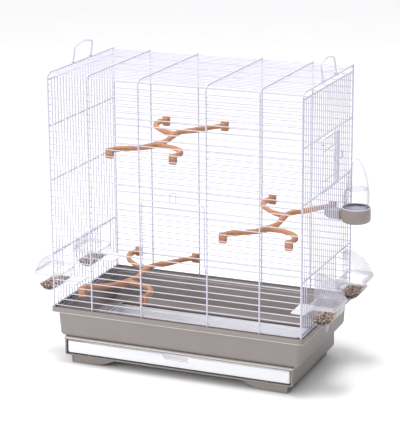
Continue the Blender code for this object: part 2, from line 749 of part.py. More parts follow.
def build_drawer():
    """A shallow white tray with a finger notch in its front wall and a lip under the notch."""
    corner = DRAWER_WALL * 2
    front = housing_front + DRAWER_WALL / 4
    outlines = []
    for inset, z in (
        (corner / 2, drawer_low), (0, drawer_low + corner / 2), (0, drawer_top),
        (DRAWER_WALL, drawer_top), (DRAWER_WALL, drawer_low + corner), (corner, drawer_low + DRAWER_WALL),
    ):
        x = drawer_half - inset
        outlines.append(rounded_rectangle(-x, x, front + inset, drawer_back - inset, z, corner, 2))
    drawer = add_object("drawer_tray", loft(outlines), WHITE)
    half = DRAWER_NOTCH / 2
    low = drawer_top - DRAWER_NOTCH_DEPTH
    notch = (
        (-half + DRAWER_NOTCH_SLOPE, low), (half - DRAWER_NOTCH_SLOPE, low),
        (half, drawer_top + OVERRUN), (-half, drawer_top + OVERRUN),
    )
    cutter = prism(notch, "y", front - OVERRUN, front + DRAWER_WALL * 1.5)
    combine(drawer, cutter, "DIFFERENCE")
    reach = half - DRAWER_NOTCH_SLOPE
    lip_y = (front - DRAWER_LIP, front + DRAWER_WALL / 2)
    lip = box(-reach, reach, *lip_y, low - 2 * DRAWER_LIP, low - DRAWER_LIP)
    combine(drawer, lip, "UNION")
    hang("drawer_axis", (0, front, drawer_low), drawer)


def build_foot(name, side, end):
    """A skirt round one corner, flat where it stands and arched at both free ends."""
    outer_x = housing_half - FOOT_SIDE_INSET
    outer_y = housing_back - FOOT_BACK_INSET if end > 0 else -housing_front - FOOT_FRONT_INSET

    def wall(length, curve, outer):
        outline = [(outer - FOOT_TAPER, 0), (outer, FOOT_HEIGHT)]
        outline += [(outer - length - curve * a, FOOT_HEIGHT * b) for a, b in ARCH_SHARES]
        return outline

    front_outline = [(side * a, b) for a, b in wall(FOOT_FLAT, FOOT_ARCH, outer_x)]
    side_outline = [(end * a, b) for a, b in wall(FOOT_SIDE_FLAT, FOOT_SIDE_ARCH, outer_y)]
    skirt_y = end * (outer_y - FOOT_TAPER)
    foot = add_object(name, prism(front_outline, "y", skirt_y, skirt_y - end * FOOT_WALL), TAUPE)
    skirt_x = side * (outer_x - FOOT_TAPER)
    combine(foot, prism(side_outline, "x", skirt_x, skirt_x - side * FOOT_WALL), "UNION")


# Perches
def perch_height(heights, number):
    return heights[number] + BRANCH_ABOVE_WIRE


def build_perch(name, place, number):
    cap_out = -front_y - thin - GAP
    end_y = cap_out - CAP_DEPTH - GAP
    front_z = perch_height(front_wires, number)
    back_z = perch_height(back_wires, number)

    def path(shares):
        points = []
        for across, along in shares:
            y = along * end_y
            z = front_z + (back_z - front_z) * (y + end_y) / (2 * end_y)
            points.append((place + across * PERCH_SPREAD, y, z))
        return points

    radius = PERCH_DIAMETER / 2
    main = sweep(path(PERCH_MAIN_SHARES), radius, (0, 0, 1), PERCH_SIDES)
    branch = add_object(f"{name}_branch", main, PERCH)
    for shares in (PERCH_BACK_SHARES, PERCH_FRONT_SHARES):
        combine(branch, sweep(path(shares), radius * TWIG_SHARE, (0, 0, 1), PERCH_SIDES), "UNION")
    ends = (
        ("front_left", PERCH_MAIN_SHARES[0]), ("back_right", PERCH_MAIN_SHARES[-1]),
        ("back_left", PERCH_BACK_SHARES[-1]), ("front_right", PERCH_FRONT_SHARES[-1]),
    )
    for label, (across, along) in ends:
        wires = back_wires if along > 0 else front_wires
        x = place + across * PERCH_SPREAD
        build_cap(f"{name}_cap_{label}", x, math.copysign(1, along), cap_out, wires[number])


def build_cap(name, x, end, outer, wire_z):
    """The end clip of a perch: a rounded block with two tongues that grip one wire."""
    low = wire_z - CAP_BELOW_WIRE
    half = CAP_WIDTH / 2
    y0 = end * (outer - CAP_DEPTH)
    y1 = end * outer
    outlines = []
    for inset, y in ((CAP_BEVEL / 2, y0), (0, y0 + end * CAP_BEVEL / 2), (0, y1)):
        outline = rounded_rectangle(
            x - half + inset, x + half - inset, low + inset, low + CAP_HEIGHT - inset, 0, CAP_BEVEL, 1
        )
        outlines.append([(a, y, b) for a, b, _ in outline])
    cap = add_object(name, loft(outlines), PERCH)
    for way in (-1, 1):
        z0 = wire_z + way * (thin + GAP)
        z1 = z0 + way * CAP_TONGUE
        reach = end * (outer + GAP + thin)
        tongue = box(x - half / 2, x + half / 2, end * (outer - GAP), reach, min(z0, z1), max(z0, z1))
        combine(cap, tongue, "UNION")


# Feeders, one at each end of both sides
bowl_top = rail_z[1] - FEEDER_BELOW_RAIL
hood_top = rail_z[1] - FEEDER_HOOD_TOP


def build_feeder(name, side, end):
    y = end * feeder_y
    bowl = build_bowl(f"{name}_bowl", side, y)
    hood = build_hood(f"{name}_hood", side, y)
    hang(f"{name}_axis", (side * sill_x, y, sill_z), bowl, hood)
    build_sill(f"{name}_sill", side, y)


def build_bowl(name, side, y):
    """A trough with a round bottom, flat ends and a flange round its mouth."""
    half_y = FEEDER_WIDTH / 2 - FEEDER_FLANGE
    reach = (FEEDER_DEPTH - FEEDER_FLANGE / 2) / 2
    centre = outside_x + reach
    outlines = []

    def ring(across, depth_y, z, shift=0.0):
        x = side * (centre + shift)
        corner = min(FEEDER_CORNER, across / 2)
        outlines.append(rounded_rectangle(x - across, x + across, y - depth_y, y + depth_y, z, corner, 1))

    for degrees in FEEDER_BOWL_ANGLES:
        angle = math.radians(degrees)
        ring(reach * math.cos(angle), half_y, bowl_top - FEEDER_BOWL_HEIGHT * math.sin(angle))
    grow = FEEDER_FLANGE / 2
    flange_low = bowl_top + GAP
    flange_top = flange_low + FEEDER_FLANGE_HEIGHT
    ring(reach, half_y, flange_low)
    ring(reach + grow, half_y + FEEDER_FLANGE, flange_low + grow / 2, grow)
    ring(reach + grow, half_y + FEEDER_FLANGE, flange_top, grow)
    ring(reach - FEEDER_WALL, half_y - FEEDER_WALL, flange_top)
    inner = FEEDER_BOWL_HEIGHT - FEEDER_WALL
    for degrees in reversed(FEEDER_BOWL_ANGLES):
        angle = math.radians(degrees)
        across = (reach - FEEDER_WALL) * math.cos(angle)
        ring(across, half_y - FEEDER_WALL, bowl_top - inner * math.sin(angle))
    bowl = add_object(name, loft(outlines), CLEAR)
    hook_gap = side_pitch * (FEEDER_LAST_SPACE - FEEDER_FIRST_SPACE - 1) / 2
    for way in (-1, 1):
        add_hook(bowl, side, y + way * hook_gap)
    return bowl


def add_hook(bowl, side, y):
    """A hook on the wire under the opening. It is open towards the cage, so that it lifts off."""
    half = FEEDER_HOOK_WIDTH / 2
    hole = thin + GAP
    outer = hole + FEEDER_WALL

    def octagon(radius, turn):
        angles = [math.radians(turn + 45 * k) for k in range(8)]
        return [(side * (sill_x + radius * math.cos(a)), sill_z + radius * math.sin(a)) for a in angles]

    combine(bowl, prism(octagon(outer, 22.5), "y", y - half, y + half), "UNION")
    arm_x = sorted((side * (sill_x + hole / 2), side * (outside_x + 3 * FEEDER_WALL)))
    arm_half = half * SLIM_SHARE
    combine(bowl, box(*arm_x, y - arm_half, y + arm_half, sill_z - hole, sill_z + hole), "UNION")
    combine(bowl, prism(octagon(hole, 0), "y", y - 2 * half, y + 2 * half), "DIFFERENCE")
    slot_x = sorted((side * (sill_x - 2 * outer), side * sill_x))
    slot_half = hole * SLIM_SHARE
    slot = box(*slot_x, y - 2 * half, y + 2 * half, sill_z - slot_half, sill_z + slot_half)
    combine(bowl, slot, "DIFFERENCE")


def build_hood(name, side, y):
    """A clear cover with a rounded outer face, open towards the cage and down to the bowl."""
    low = bowl_top + 2 * GAP + FEEDER_FLANGE_HEIGHT
    height = hood_top - low
    depth = FEEDER_DEPTH - FEEDER_FLANGE / 2
    half_y = FEEDER_WIDTH / 2 - FEEDER_FLANGE / 2

    def outline(shrink, behind, below):
        back = side * (outside_x - behind)
        points = [(back, low - below), (back, low + height - shrink)]
        for step in range(HOOD_STEPS + 1):
            angle = math.radians(90 - 90 * step / HOOD_STEPS)
            x = outside_x + (depth - shrink) * math.cos(angle) ** HOOD_ROUNDNESS_SHARE
            z = low + (height - shrink) * math.sin(angle) ** HOOD_ROUNDNESS_SHARE
            points.append((side * x, z))
        if below:
            points.append((side * (outside_x + depth - shrink), low - below))
        return points

    hood = add_object(name, prism(outline(0, 0, 0), "y", y - half_y, y + half_y), CLEAR)
    inner_y = half_y - FEEDER_WALL
    inner = prism(outline(FEEDER_WALL, OVERRUN, OVERRUN), "y", y - inner_y, y + inner_y)
    combine(hood, inner, "DIFFERENCE")
    return hood


def build_sill(name, side, y):
    """The white landing lip inside the cage, with a tongue over the wire under the opening."""
    inner_face = side_x - thin - GAP
    low = sill_z + thin + GAP
    half = SILL_WIDTH / 2
    outline = rounded_rectangle(
        inner_face - SILL_DEPTH, inner_face, y - half, y + half, 0, FEEDER_CORNER, 2
    )
    plate = [(side * a, b) for a, b, _ in outline]
    sill = add_object(name, prism(plate, "z", low, low + SILL_THICKNESS), WHITE)
    reach = sorted((side * (inner_face - SILL_THICKNESS), side * sill_x))
    half = SILL_TONGUE_WIDTH / 2
    tongue = box(*reach, y - half, y + half, low + GAP, low + SILL_THICKNESS - GAP)
    combine(sill, tongue, "UNION")


# Drinker on the right side
cup_radius = CUP_DIAMETER / 2
cup_x = outside_x + cup_radius


def disc(x, z, radius, back=None, front=None, across=None):
    """An oval outline about the cup's axis; back and front say how far it reaches along X."""
    back = radius if back is None else back
    front = radius if front is None else front
    across = radius if across is None else across
    points = []
    for k in range(CUP_SIDES):
        angle = 2 * math.pi * k / CUP_SIDES
        reach = front if math.cos(angle) > 0 else back
        points.append((x + reach * math.cos(angle), drinker_y + across * math.sin(angle), z))
    return points


def build_cup():
    outlines = []
    inner = cup_radius - CUP_WALL
    soft = CUP_ROUND * (1 - math.sqrt(0.5))
    for radius, z in (
        (cup_radius - CUP_ROUND, cup_low), (cup_radius - soft, cup_low + soft),
        (cup_radius, cup_low + CUP_ROUND), (cup_radius, cup_top), (inner, cup_top),
        (inner, cup_low + CUP_ROUND + CUP_WALL), (inner - CUP_ROUND, cup_low + CUP_WALL),
    ):
        outlines.append(disc(cup_x, z, radius))
    cup = add_object("drinker_cup", loft(outlines), CUP)
    half = TROUGH_WIDTH / 2
    tip = half_width - TROUGH_REACH
    back = cup_x - inner + CUP_WALL / 2
    nose_z = trough_low + TROUGH_NOSE
    outline = (
        (back, trough_low), (tip + 2 * TROUGH_NOSE, trough_low), (tip + TROUGH_NOSE / 2, nose_z),
        (tip, trough_top), (back, trough_top),
    )
    combine(cup, prism(outline, "y", drinker_y - half, drinker_y + half), "UNION")
    hollow = (
        (back + CUP_WALL, trough_low + CUP_WALL), (tip + 2 * TROUGH_NOSE, trough_low + CUP_WALL),
        (tip + TROUGH_NOSE / 2 + CUP_WALL, nose_z + CUP_WALL / 2),
        (tip + CUP_WALL, trough_top + OVERRUN), (outside_x - CUP_WALL, trough_top + OVERRUN),
        (outside_x - CUP_WALL, trough_top - CUP_WALL), (back + CUP_WALL, trough_top - CUP_WALL),
    )
    inner_y = half - CUP_WALL
    combine(cup, prism(hollow, "y", drinker_y - inner_y, drinker_y + inner_y), "DIFFERENCE")


def build_bottle():
    """A clear bottle that stands mouth down in the cup, flat at its back above the shoulder."""
    low = cup_low + CUP_WALL + BOTTLE_FLOAT
    base = cup_top
    neck = BOTTLE_RADIUS * BOTTLE_NECK_SHARE
    mouth = BOTTLE_RADIUS * BOTTLE_MOUTH_SHARE

    def skin(shrink):
        mouth_top = low + BOTTLE_MOUTH_HEIGHT
        neck_low = mouth_top + BOTTLE_MOUTH_HEIGHT / 2
        rings = [
            disc(cup_x, low, mouth - shrink), disc(cup_x, mouth_top, mouth - shrink),
            disc(cup_x, neck_low, neck - shrink), disc(cup_x, base, neck - shrink),
        ]
        body = BOTTLE_HEIGHT - shrink
        for (up, front), across in zip(BOTTLE_FRONT_SHARES, BOTTLE_SIDE_SHARES):
            z = base + body * up
            full = BOTTLE_RADIUS - shrink
            back = full
            if z > base + BOTTLE_BODY:
                back = full * BOTTLE_BACK_SHARE * min(1.0, across * BOTTLE_FLAT_SHARE)
            reach = max(full * front, shrink)
            rings.append(disc(cup_x, z, full, back, reach, max(full * across, shrink)))
        return rings

    outer = skin(0)
    inner = skin(BOTTLE_WALL)
    bottle = add_object("drinker_bottle", loft(list(reversed(inner)) + outer), CLEAR)
    hang("drinker_bottle_axis", (cup_x, drinker_y, cup_top), bottle)


build_front()
build_back()
build_roof()
build_side("left_grille", -1)
build_side("right_grille", 1)
build_front_door()
build_side_door()
build_side_latch()
build_tub()
build_housing()
build_drawer()
for side, side_name in ((-1, "left"), (1, "right")):
    build_handle(f"{side_name}_handle", side)
    build_clip(f"{side_name}_clip", side)
    for end, end_name in ((-1, "front"), (1, "back")):
        build_foot(f"foot_{end_name}_{side_name}", side, end)
        build_feeder(f"feeder_{end_name}_{side_name}", side, end)
for name, share, number in zip(("top", "middle", "low"), PERCH_PLACE_SHARES, PERCH_WIRE_NUMBERS):
    build_perch(f"perch_{name}", share * half_width, number)
build_cup()
build_bottle()
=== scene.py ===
"""The bird cage dressed for a studio picture: round coated wires, moulded base, feeders and drinker.

Metres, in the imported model's own frame: +Z up, and -Y is the front with the large door.
"""
import math
import random

import bmesh
import bpy
from mathutils import Matrix, Vector


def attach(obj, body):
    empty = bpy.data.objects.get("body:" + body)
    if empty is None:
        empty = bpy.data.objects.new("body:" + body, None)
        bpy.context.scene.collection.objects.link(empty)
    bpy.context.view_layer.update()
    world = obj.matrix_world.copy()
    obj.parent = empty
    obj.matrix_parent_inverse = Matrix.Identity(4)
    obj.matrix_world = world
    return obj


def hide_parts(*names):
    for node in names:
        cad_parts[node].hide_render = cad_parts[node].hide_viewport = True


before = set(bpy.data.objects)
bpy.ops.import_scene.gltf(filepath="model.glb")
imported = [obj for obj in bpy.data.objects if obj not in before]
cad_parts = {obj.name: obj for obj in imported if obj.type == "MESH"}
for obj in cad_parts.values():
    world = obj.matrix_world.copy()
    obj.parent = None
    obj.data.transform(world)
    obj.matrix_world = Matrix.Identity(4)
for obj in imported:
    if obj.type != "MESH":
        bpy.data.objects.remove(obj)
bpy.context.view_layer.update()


# Studio
# A wide sheet of pale board under the cage in a white room that is dimmer on the right, with a
# soft lamp overhead and a weaker one at the left front. The camera looks from the right of the
# front, from a little above the roof.
FLOOR_SIZE = 30.0
FLOOR_EDGE = 0.4
CAMERA_PLACE = (1.3716, -3.2378, 1.3201)
CAMERA_TURN = (74.129, 0.3934, 22.9408)
CAMERA_LENS = 144.0743
SKY_STRENGTH = 1.13
DIM_FROM = 0.2
DIM_TO = 0.75
DIM_TINT = (0.12, 0.12, 0.126, 1.0)
LAMPS = (
    ("overhead", (-0.1, -0.1, 3.0), (0.0, 0.0, 0.0), 1.2, 58.0),
    ("left_front", (-1.9, -2.3, 1.5), (0.0, 0.0, 0.3), 1.6, 13.0),
)
MIX_FACTOR, MIX_FIRST, MIX_SECOND, MIX_COLOUR = 0, 6, 7, 2


def srgb(red, green, blue):
    """A colour given as 0 to 255 on screen, as the linear values that a shader takes."""
    linear = [((part / 255 + 0.055) / 1.055) ** 2.4 for part in (red, green, blue)]
    return (*linear, 1.0)


class Signal:
    """A socket in a material's nodes. Sums on it add Math nodes, and node() adds any other kind."""

    def __init__(self, tree, socket=None):
        self.tree = tree
        self.socket = socket

    def node(self, kind, settings=None, values=None, output=0):
        """A node with its settings made first, then its sockets filled or linked."""
        made = self.tree.nodes.new(kind)
        for name, value in (settings or {}).items():
            if name != "stops":
                setattr(made, name, value)
                continue
            stops = made.color_ramp.elements
            while len(stops) < len(value):
                stops.new(0.5)
            for stop, (place, tint) in zip(stops, value):
                stop.position = place
                stop.color = tint
        for name, value in (values or {}).items():
            if isinstance(value, Signal):
                self.tree.links.new(value.socket, made.inputs[name])
            else:
                made.inputs[name].default_value = value
        return Signal(self.tree, made.outputs[output])

    def maths(self, operation, first, second):
        return self.node("ShaderNodeMath", {"operation": operation}, {0: first, 1: second})

    def __add__(self, other):
        return self.maths("ADD", self, other)

    def __mul__(self, other):
        return self.maths("MULTIPLY", self, other)

    def __pow__(self, other):
        return self.maths("POWER", self, other)

    __radd__ = __add__
    __rmul__ = __mul__

    def place(self):
        """The point on the piece, in the cage's own frame."""
        return self.node("ShaderNodeTexCoord", output="Object")

    def noise(self, scale, detail=2.0, roughness=0.5):
        """Cloudy noise over the piece, with features about one over the scale across."""
        values = {"Vector": self.place(), "Scale": scale, "Detail": detail, "Roughness": roughness}
        return self.node("ShaderNodeTexNoise", None, values)

    def band(self, low, high):
        """One between two heights on the piece, and nothing elsewhere."""
        height = self.node("ShaderNodeSeparateXYZ", None, {"Vector": self.place()}, "Z")
        values = {0: height, 1: (low + high) / 2, 2: (high - low) / 2}
        return self.node("ShaderNodeMath", {"operation": "COMPARE"}, values)

    def blend(self, factor, first, second):
        values = {MIX_FACTOR: factor, MIX_FIRST: first, MIX_SECOND: second}
        return self.node("ShaderNodeMix", {"data_type": "RGBA"}, values, MIX_COLOUR)

    def bump(self, height, depth, strength=1.0):
        return self.node("ShaderNodeBump", None, {"Height": height, "Distance": depth, "Strength": strength})


def new_finish(name, **sockets):
    """A material with constant values on its own shader, and the signal that builds its nodes."""
    material = bpy.data.materials.new(name)
    material.use_nodes = True
    shader = material.node_tree.nodes["Principled BSDF"]
    for socket, value in sockets.items():
        shader.inputs[socket.replace("_", " ").title().replace("Ior", "IOR")].default_value = value
    return material, Signal(material.node_tree)


def feed(material, **signals):
    """Links signals that vary over the surface to the material's shader."""
    shader = material.node_tree.nodes["Principled BSDF"]
    for socket, signal in signals.items():
        material.node_tree.links.new(signal.socket, shader.inputs[socket.replace("_", " ").title()])


bpy.ops.object.select_all(action="DESELECT")
bpy.ops.mesh.primitive_plane_add(size=FLOOR_SIZE)
floor = bpy.context.object
floor.name = "studio_floor"
bpy.ops.object.mode_set(mode="EDIT")
bpy.ops.mesh.inset(thickness=FLOOR_EDGE)
bpy.ops.object.mode_set(mode="OBJECT")
board, nodes = new_finish("pale_board", roughness=0.9)
tooth = nodes.noise(9.0, 3.0)
feed(board, base_color=nodes.blend(tooth, srgb(250, 250, 252), srgb(254, 254, 255)))
floor.data.materials.append(board)

for name, place, aim, size, power in LAMPS:
    data = bpy.data.lights.new(name, "AREA")
    data.shape = "DISK"
    data.size = size
    data.energy = power
    lamp = bpy.data.objects.new(name, data)
    bpy.context.scene.collection.objects.link(lamp)
    lamp.location = place
    lamp.rotation_euler = (Vector(aim) - Vector(place)).to_track_quat("-Z", "Y").to_euler()

world = bpy.data.worlds.new("studio_air")
bpy.context.scene.world = world
world.use_nodes = True
sky = Signal(world.node_tree)
way = sky.node("ShaderNodeTexCoord", output="Generated")
right = sky.node("ShaderNodeSeparateXYZ", None, {"Vector": way}, "X")
reach = {"Value": right, "From Min": DIM_FROM, "From Max": DIM_TO}
dim = sky.node("ShaderNodeMapRange", {"interpolation_type": "SMOOTHSTEP"}, reach)
background = world.node_tree.nodes["Background"]
background.inputs["Strength"].default_value = SKY_STRENGTH
shade = sky.blend(dim, srgb(255, 255, 255), DIM_TINT)
world.node_tree.links.new(shade.socket, background.inputs["Color"])
bpy.context.scene.view_settings.view_transform = "Standard"

lens = bpy.data.cameras.new("camera")
lens.lens = CAMERA_LENS
camera = bpy.data.objects.new("camera", lens)
bpy.context.scene.collection.objects.link(camera)
camera.location = CAMERA_PLACE
camera.rotation_euler = [math.radians(angle) for angle in CAMERA_TURN]
bpy.context.scene.camera = camera


# Front and roof wirework
# One panel of thin drawn wires, spot welded behind six thick ribs and bent over at the top edge,
# then powder coated white. The doorway is cut out of its middle.
WIRE_RADIUS = 0.0011
RIB_RADIUS = 0.00175
WIRE_SIDES = 10
CURVE_SIDES_STEP = 3
WIRE_PITCH = 0.0141
WIRE_END = 0.2809
HALF_DEPTH = 0.157
RIB_PLACES = (-0.28, -0.19012, -0.07504, 0.07504, 0.19012, 0.28)
CAGE_FOOT = 0.1193
ROOF_Z = 0.635
BEND = 0.012
FRONT_WIRE_Y = -0.15465
FRONT_FIRST_Z = 0.1310
BELOW_DOORWAY = 9
DOORWAY_WIRES = 10
ABOVE_DOORWAY = 16
ROOF_WIRE_Z = 0.63265
ROOF_FIRST_Y = -0.145
ROOF_PITCH = 0.014045
ROOF_WIRES = 22
BEND_WIRE = (-0.15182, 0.62982)
WELD_SINK = 0.0003
WELD_LONG = 0.0021
WELD_THIN = 0.0009
END_ROUND_SHARE = 0.35
SMOOTH_ANGLE = math.radians(38)

powder_coat, nodes = new_finish("white_powder_coat", roughness=0.32, coat_weight=0.25, coat_roughness=0.2)
drift = nodes.noise(60.0, 3.0)
peel = nodes.noise(1500.0, 1.0)
feed(
    powder_coat,
    base_color=nodes.blend(drift, srgb(200, 198, 214), srgb(212, 210, 225)),
    roughness=0.24 + drift * 0.2,
    normal=nodes.bump(peel, 0.00006),
)


def select_only(*pieces):
    bpy.ops.object.select_all(action="DESELECT")
    for piece in pieces:
        piece.select_set(True)
    bpy.context.view_layer.objects.active = pieces[0]


def keep_place():
    """Puts the object's place and turn into its mesh."""
    bpy.ops.object.transform_apply(location=True, rotation=True, scale=True)
    return bpy.context.object


def pick(kind, test):
    """Selects only the points, edges or faces that pass the test. A test gets a middle and the part."""
    bpy.ops.mesh.select_mode(type=kind)
    bpy.ops.mesh.select_all(action="DESELECT")
    mesh = bmesh.from_edit_mesh(bpy.context.object.data)
    parts = {"VERT": mesh.verts, "EDGE": mesh.edges, "FACE": mesh.faces}[kind]
    for part in parts:
        if kind == "VERT":
            middle = part.co
        elif kind == "EDGE":
            middle = (part.verts[0].co + part.verts[1].co) / 2
        else:
            middle = part.calc_center_median()
        if test(middle, part):
            part.select_set(True)
    mesh.select_flush_mode()
    bmesh.update_edit_mesh(bpy.context.object.data)


def dress_ends(radius):
    """Rounds the cut ends of the wire in edit mode, as the coating does."""
    pick("FACE", lambda middle, face: len(face.verts) > 4)
    bpy.ops.mesh.bevel(offset=radius * END_ROUND_SHARE, segments=1)
    bpy.ops.object.mode_set(mode="OBJECT")


def straight_wire(start, end, radius):
    start = Vector(start)
    along = Vector(end) - start
    bpy.ops.object.select_all(action="DESELECT")
    bpy.ops.mesh.primitive_cylinder_add(
        vertices=WIRE_SIDES, radius=radius, depth=along.length, location=start + along / 2,
        rotation=along.to_track_quat("Z", "Y").to_euler(), end_fill_type="NGON",
    )
    wire = keep_place()
    bpy.ops.object.mode_set(mode="EDIT")
    dress_ends(radius)
    return wire


def drawn_line(points, closed=False):
    """One point drawn out along a line, left in edit mode. A fourth value rounds that corner."""
    bpy.ops.object.select_all(action="DESELECT")
    bpy.ops.mesh.primitive_plane_add(size=WIRE_RADIUS, location=points[0][:3])
    line = keep_place()
    bpy.ops.object.mode_set(mode="EDIT")
    bpy.ops.mesh.select_mode(type="VERT")
    bpy.ops.mesh.merge(type="CENTER")
    places = [Vector(point[:3]) for point in points]
    for before, after in zip(places, places[1:]):
        bpy.ops.mesh.extrude_vertices_move(TRANSFORM_OT_translate={"value": after - before})
    if closed:
        ends = (places[0], places[-1])
        near = WIRE_RADIUS / 20
        pick("VERT", lambda middle, point: min((middle - end).length for end in ends) < near)
        bpy.ops.mesh.edge_face_add()
    for point in points:
        if len(point) > 3:
            corner = Vector(point[:3])
            pick("VERT", lambda middle, part: (middle - corner).length < WIRE_RADIUS / 20)
            bpy.ops.mesh.bevel(offset=point[3], segments=6, affect="VERTICES")
    return line


def bent_wire(points, radius, closed=False):
    """A wire bent along a line, with its cut ends dressed."""
    wire = drawn_line(points, closed)
    bpy.ops.object.mode_set(mode="OBJECT")
    bpy.ops.object.convert(target="CURVE")
    wire.data.bevel_depth = radius
    wire.data.bevel_resolution = CURVE_SIDES_STEP
    wire.data.use_fill_caps = True
    bpy.ops.object.convert(target="MESH")
    bpy.ops.object.mode_set(mode="EDIT")
    bpy.ops.mesh.select_all(action="SELECT")
    bpy.ops.mesh.remove_doubles(threshold=radius / 100)
    dress_ends(radius)
    return wire


def arc(centre, radius, first, last, across, steps=8):
    """Points round a centre, in degrees, in the plane across one axis."""
    points = []
    for step in range(steps + 1):
        angle = math.radians(first + (last - first) * step / steps)
        a = radius * math.cos(angle)
        b = radius * math.sin(angle)
        offset = {"x": (0, a, b), "y": (a, 0, b), "z": (a, b, 0)}[across]
        points.append(tuple(Vector(centre) + Vector(offset)))
    return points


def weld_spots(places, across):
    """Small lumps of weld metal under the coating, one shaped and then copied along the wire."""
    bpy.ops.object.select_all(action="DESELECT")
    bpy.ops.mesh.primitive_ico_sphere_add(subdivisions=1, radius=WELD_LONG, location=places[0])
    spots = keep_place()
    bpy.ops.object.mode_set(mode="EDIT")
    flat = [1.0, 1.0, 1.0]
    flat["xyz".index(across)] = WELD_THIN / WELD_LONG
    bpy.ops.transform.resize(value=flat, center_override=places[0])
    for before, after in zip(places, places[1:]):
        step = Vector(after) - Vector(before)
        bpy.ops.mesh.duplicate_move(TRANSFORM_OT_translate={"value": step})
    bpy.ops.object.mode_set(mode="OBJECT")
    return spots


def joined(*pieces):
    select_only(*pieces)
    if len(pieces) > 1:
        bpy.ops.object.join()
    return pieces[0]


def modifier_on(piece, kind, **settings):
    """Adds a modifier, sets it and applies it."""
    select_only(piece)
    bpy.ops.object.modifier_add(type=kind)
    added = piece.modifiers[-1]
    for name, value in settings.items():
        setattr(added, name, value)
    bpy.ops.object.modifier_apply(modifier=added.name)
    return piece


def in_a_row(piece, count, step):
    """The piece repeated at even steps."""
    return modifier_on(
        piece, "ARRAY", count=count, use_relative_offset=False, use_constant_offset=True,
        constant_offset_displace=step,
    )


def copy_of(piece, shift=(0, 0, 0), flip=(1, 1, 1)):
    """A copy with its own mesh, mirrored through the cage's middle where asked, and moved."""
    select_only(piece)
    bpy.ops.object.duplicate(linked=False)
    copy = bpy.context.object
    copy.scale = flip
    copy.location = shift
    return keep_place()


def finish_piece(name, parts, finish, body, nodes=()):
    """Joins the parts and gives the piece its finish, its body and the CAD nodes that it stands for."""
    piece = joined(*parts)
    piece.name = name
    piece.data.name = name
    bpy.ops.object.mode_set(mode="EDIT")
    bpy.ops.mesh.select_all(action="SELECT")
    bpy.ops.mesh.normals_make_consistent(inside=False)
    bpy.ops.object.mode_set(mode="OBJECT")
    bpy.ops.object.shade_smooth_by_angle(angle=SMOOTH_ANGLE)
    piece.data.materials.clear()
    piece.data.materials.append(finish)
    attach(piece, body)
    if nodes:
        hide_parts(*nodes)
    return piece


def welded_wire(start, end, ribs, across, shift):
    """A thin wire with the spot welds where it meets each rib. Shift goes from wire to contact."""
    start = Vector(start)
    end = Vector(end)
    wire = straight_wire(start, end, WIRE_RADIUS)
    way = (end - start).normalized()
    spots = [start + way * (rib - start.dot(way)) + Vector(shift) for rib in ribs]
    return joined(wire, weld_spots(spots, across))


to_front_rib = (0, -WIRE_RADIUS + WELD_SINK, 0)
full_wire = welded_wire(
    (-WIRE_END, FRONT_WIRE_Y, FRONT_FIRST_Z), (WIRE_END, FRONT_WIRE_Y, FRONT_FIRST_Z),
    RIB_PLACES, "y", to_front_rib,
)
top_wires = copy_of(full_wire, (0, 0, WIRE_PITCH * (BELOW_DOORWAY + DOORWAY_WIRES)))
in_a_row(top_wires, ABOVE_DOORWAY, (0, 0, WIRE_PITCH))
in_a_row(full_wire, BELOW_DOORWAY, (0, 0, WIRE_PITCH))
door_side_z = FRONT_FIRST_Z + WIRE_PITCH * BELOW_DOORWAY
left_of_door = welded_wire(
    (-WIRE_END, FRONT_WIRE_Y, door_side_z), (RIB_PLACES[2] + RIB_RADIUS / 2, FRONT_WIRE_Y, door_side_z),
    RIB_PLACES[:3], "y", to_front_rib,
)
in_a_row(left_of_door, DOORWAY_WIRES, (0, 0, WIRE_PITCH))
right_of_door = copy_of(left_of_door, flip=(-1, 1, 1))
front_parts = (full_wire, top_wires, left_of_door, right_of_door)
finish_piece("front_wires", front_parts, powder_coat, "cage", ("front_grille",))

roof_wire = welded_wire(
    (-WIRE_END, ROOF_FIRST_Y, ROOF_WIRE_Z), (WIRE_END, ROOF_FIRST_Y, ROOF_WIRE_Z), RIB_PLACES, "z",
    (0, 0, WIRE_RADIUS - WELD_SINK),
)
in_a_row(roof_wire, ROOF_WIRES, (0, ROOF_PITCH, 0))
bend_wire = straight_wire((-WIRE_END, *BEND_WIRE), (WIRE_END, *BEND_WIRE), WIRE_RADIUS)
finish_piece("roof_wires", (roof_wire, bend_wire), powder_coat, "cage", ("roof_grille",))

first_rib = bent_wire(
    (
        (RIB_PLACES[0], -HALF_DEPTH, CAGE_FOOT), (RIB_PLACES[0], -HALF_DEPTH, ROOF_Z, BEND),
        (RIB_PLACES[0], HALF_DEPTH + RIB_RADIUS, ROOF_Z),
    ),
    RIB_RADIUS,
)
bent_ribs = [first_rib] + [copy_of(first_rib, (x - RIB_PLACES[0], 0, 0)) for x in RIB_PLACES[1:]]
finish_piece("bent_ribs", bent_ribs, powder_coat, "cage", ("front_grille", "roof_grille"))


# Back wirework
# A flat panel of the same wires and ribs, which stands in the tub's channel under the roof's edge.
BACK_FIRST_Z = 0.1360
BACK_WIRES = 36
BACK_RIB_TOP = 0.63295

back_wire = welded_wire(
    (-WIRE_END, -FRONT_WIRE_Y, BACK_FIRST_Z), (WIRE_END, -FRONT_WIRE_Y, BACK_FIRST_Z), RIB_PLACES, "y",
    (0, WIRE_RADIUS - WELD_SINK, 0),
)
in_a_row(back_wire, BACK_WIRES, (0, 0, WIRE_PITCH))
back_parts = [back_wire]
for x in RIB_PLACES:
    back_parts.append(straight_wire((x, HALF_DEPTH, CAGE_FOOT), (x, HALF_DEPTH, BACK_RIB_TOP), RIB_RADIUS))
finish_piece("back_panel", back_parts, powder_coat, "cage", ("back_grille",))


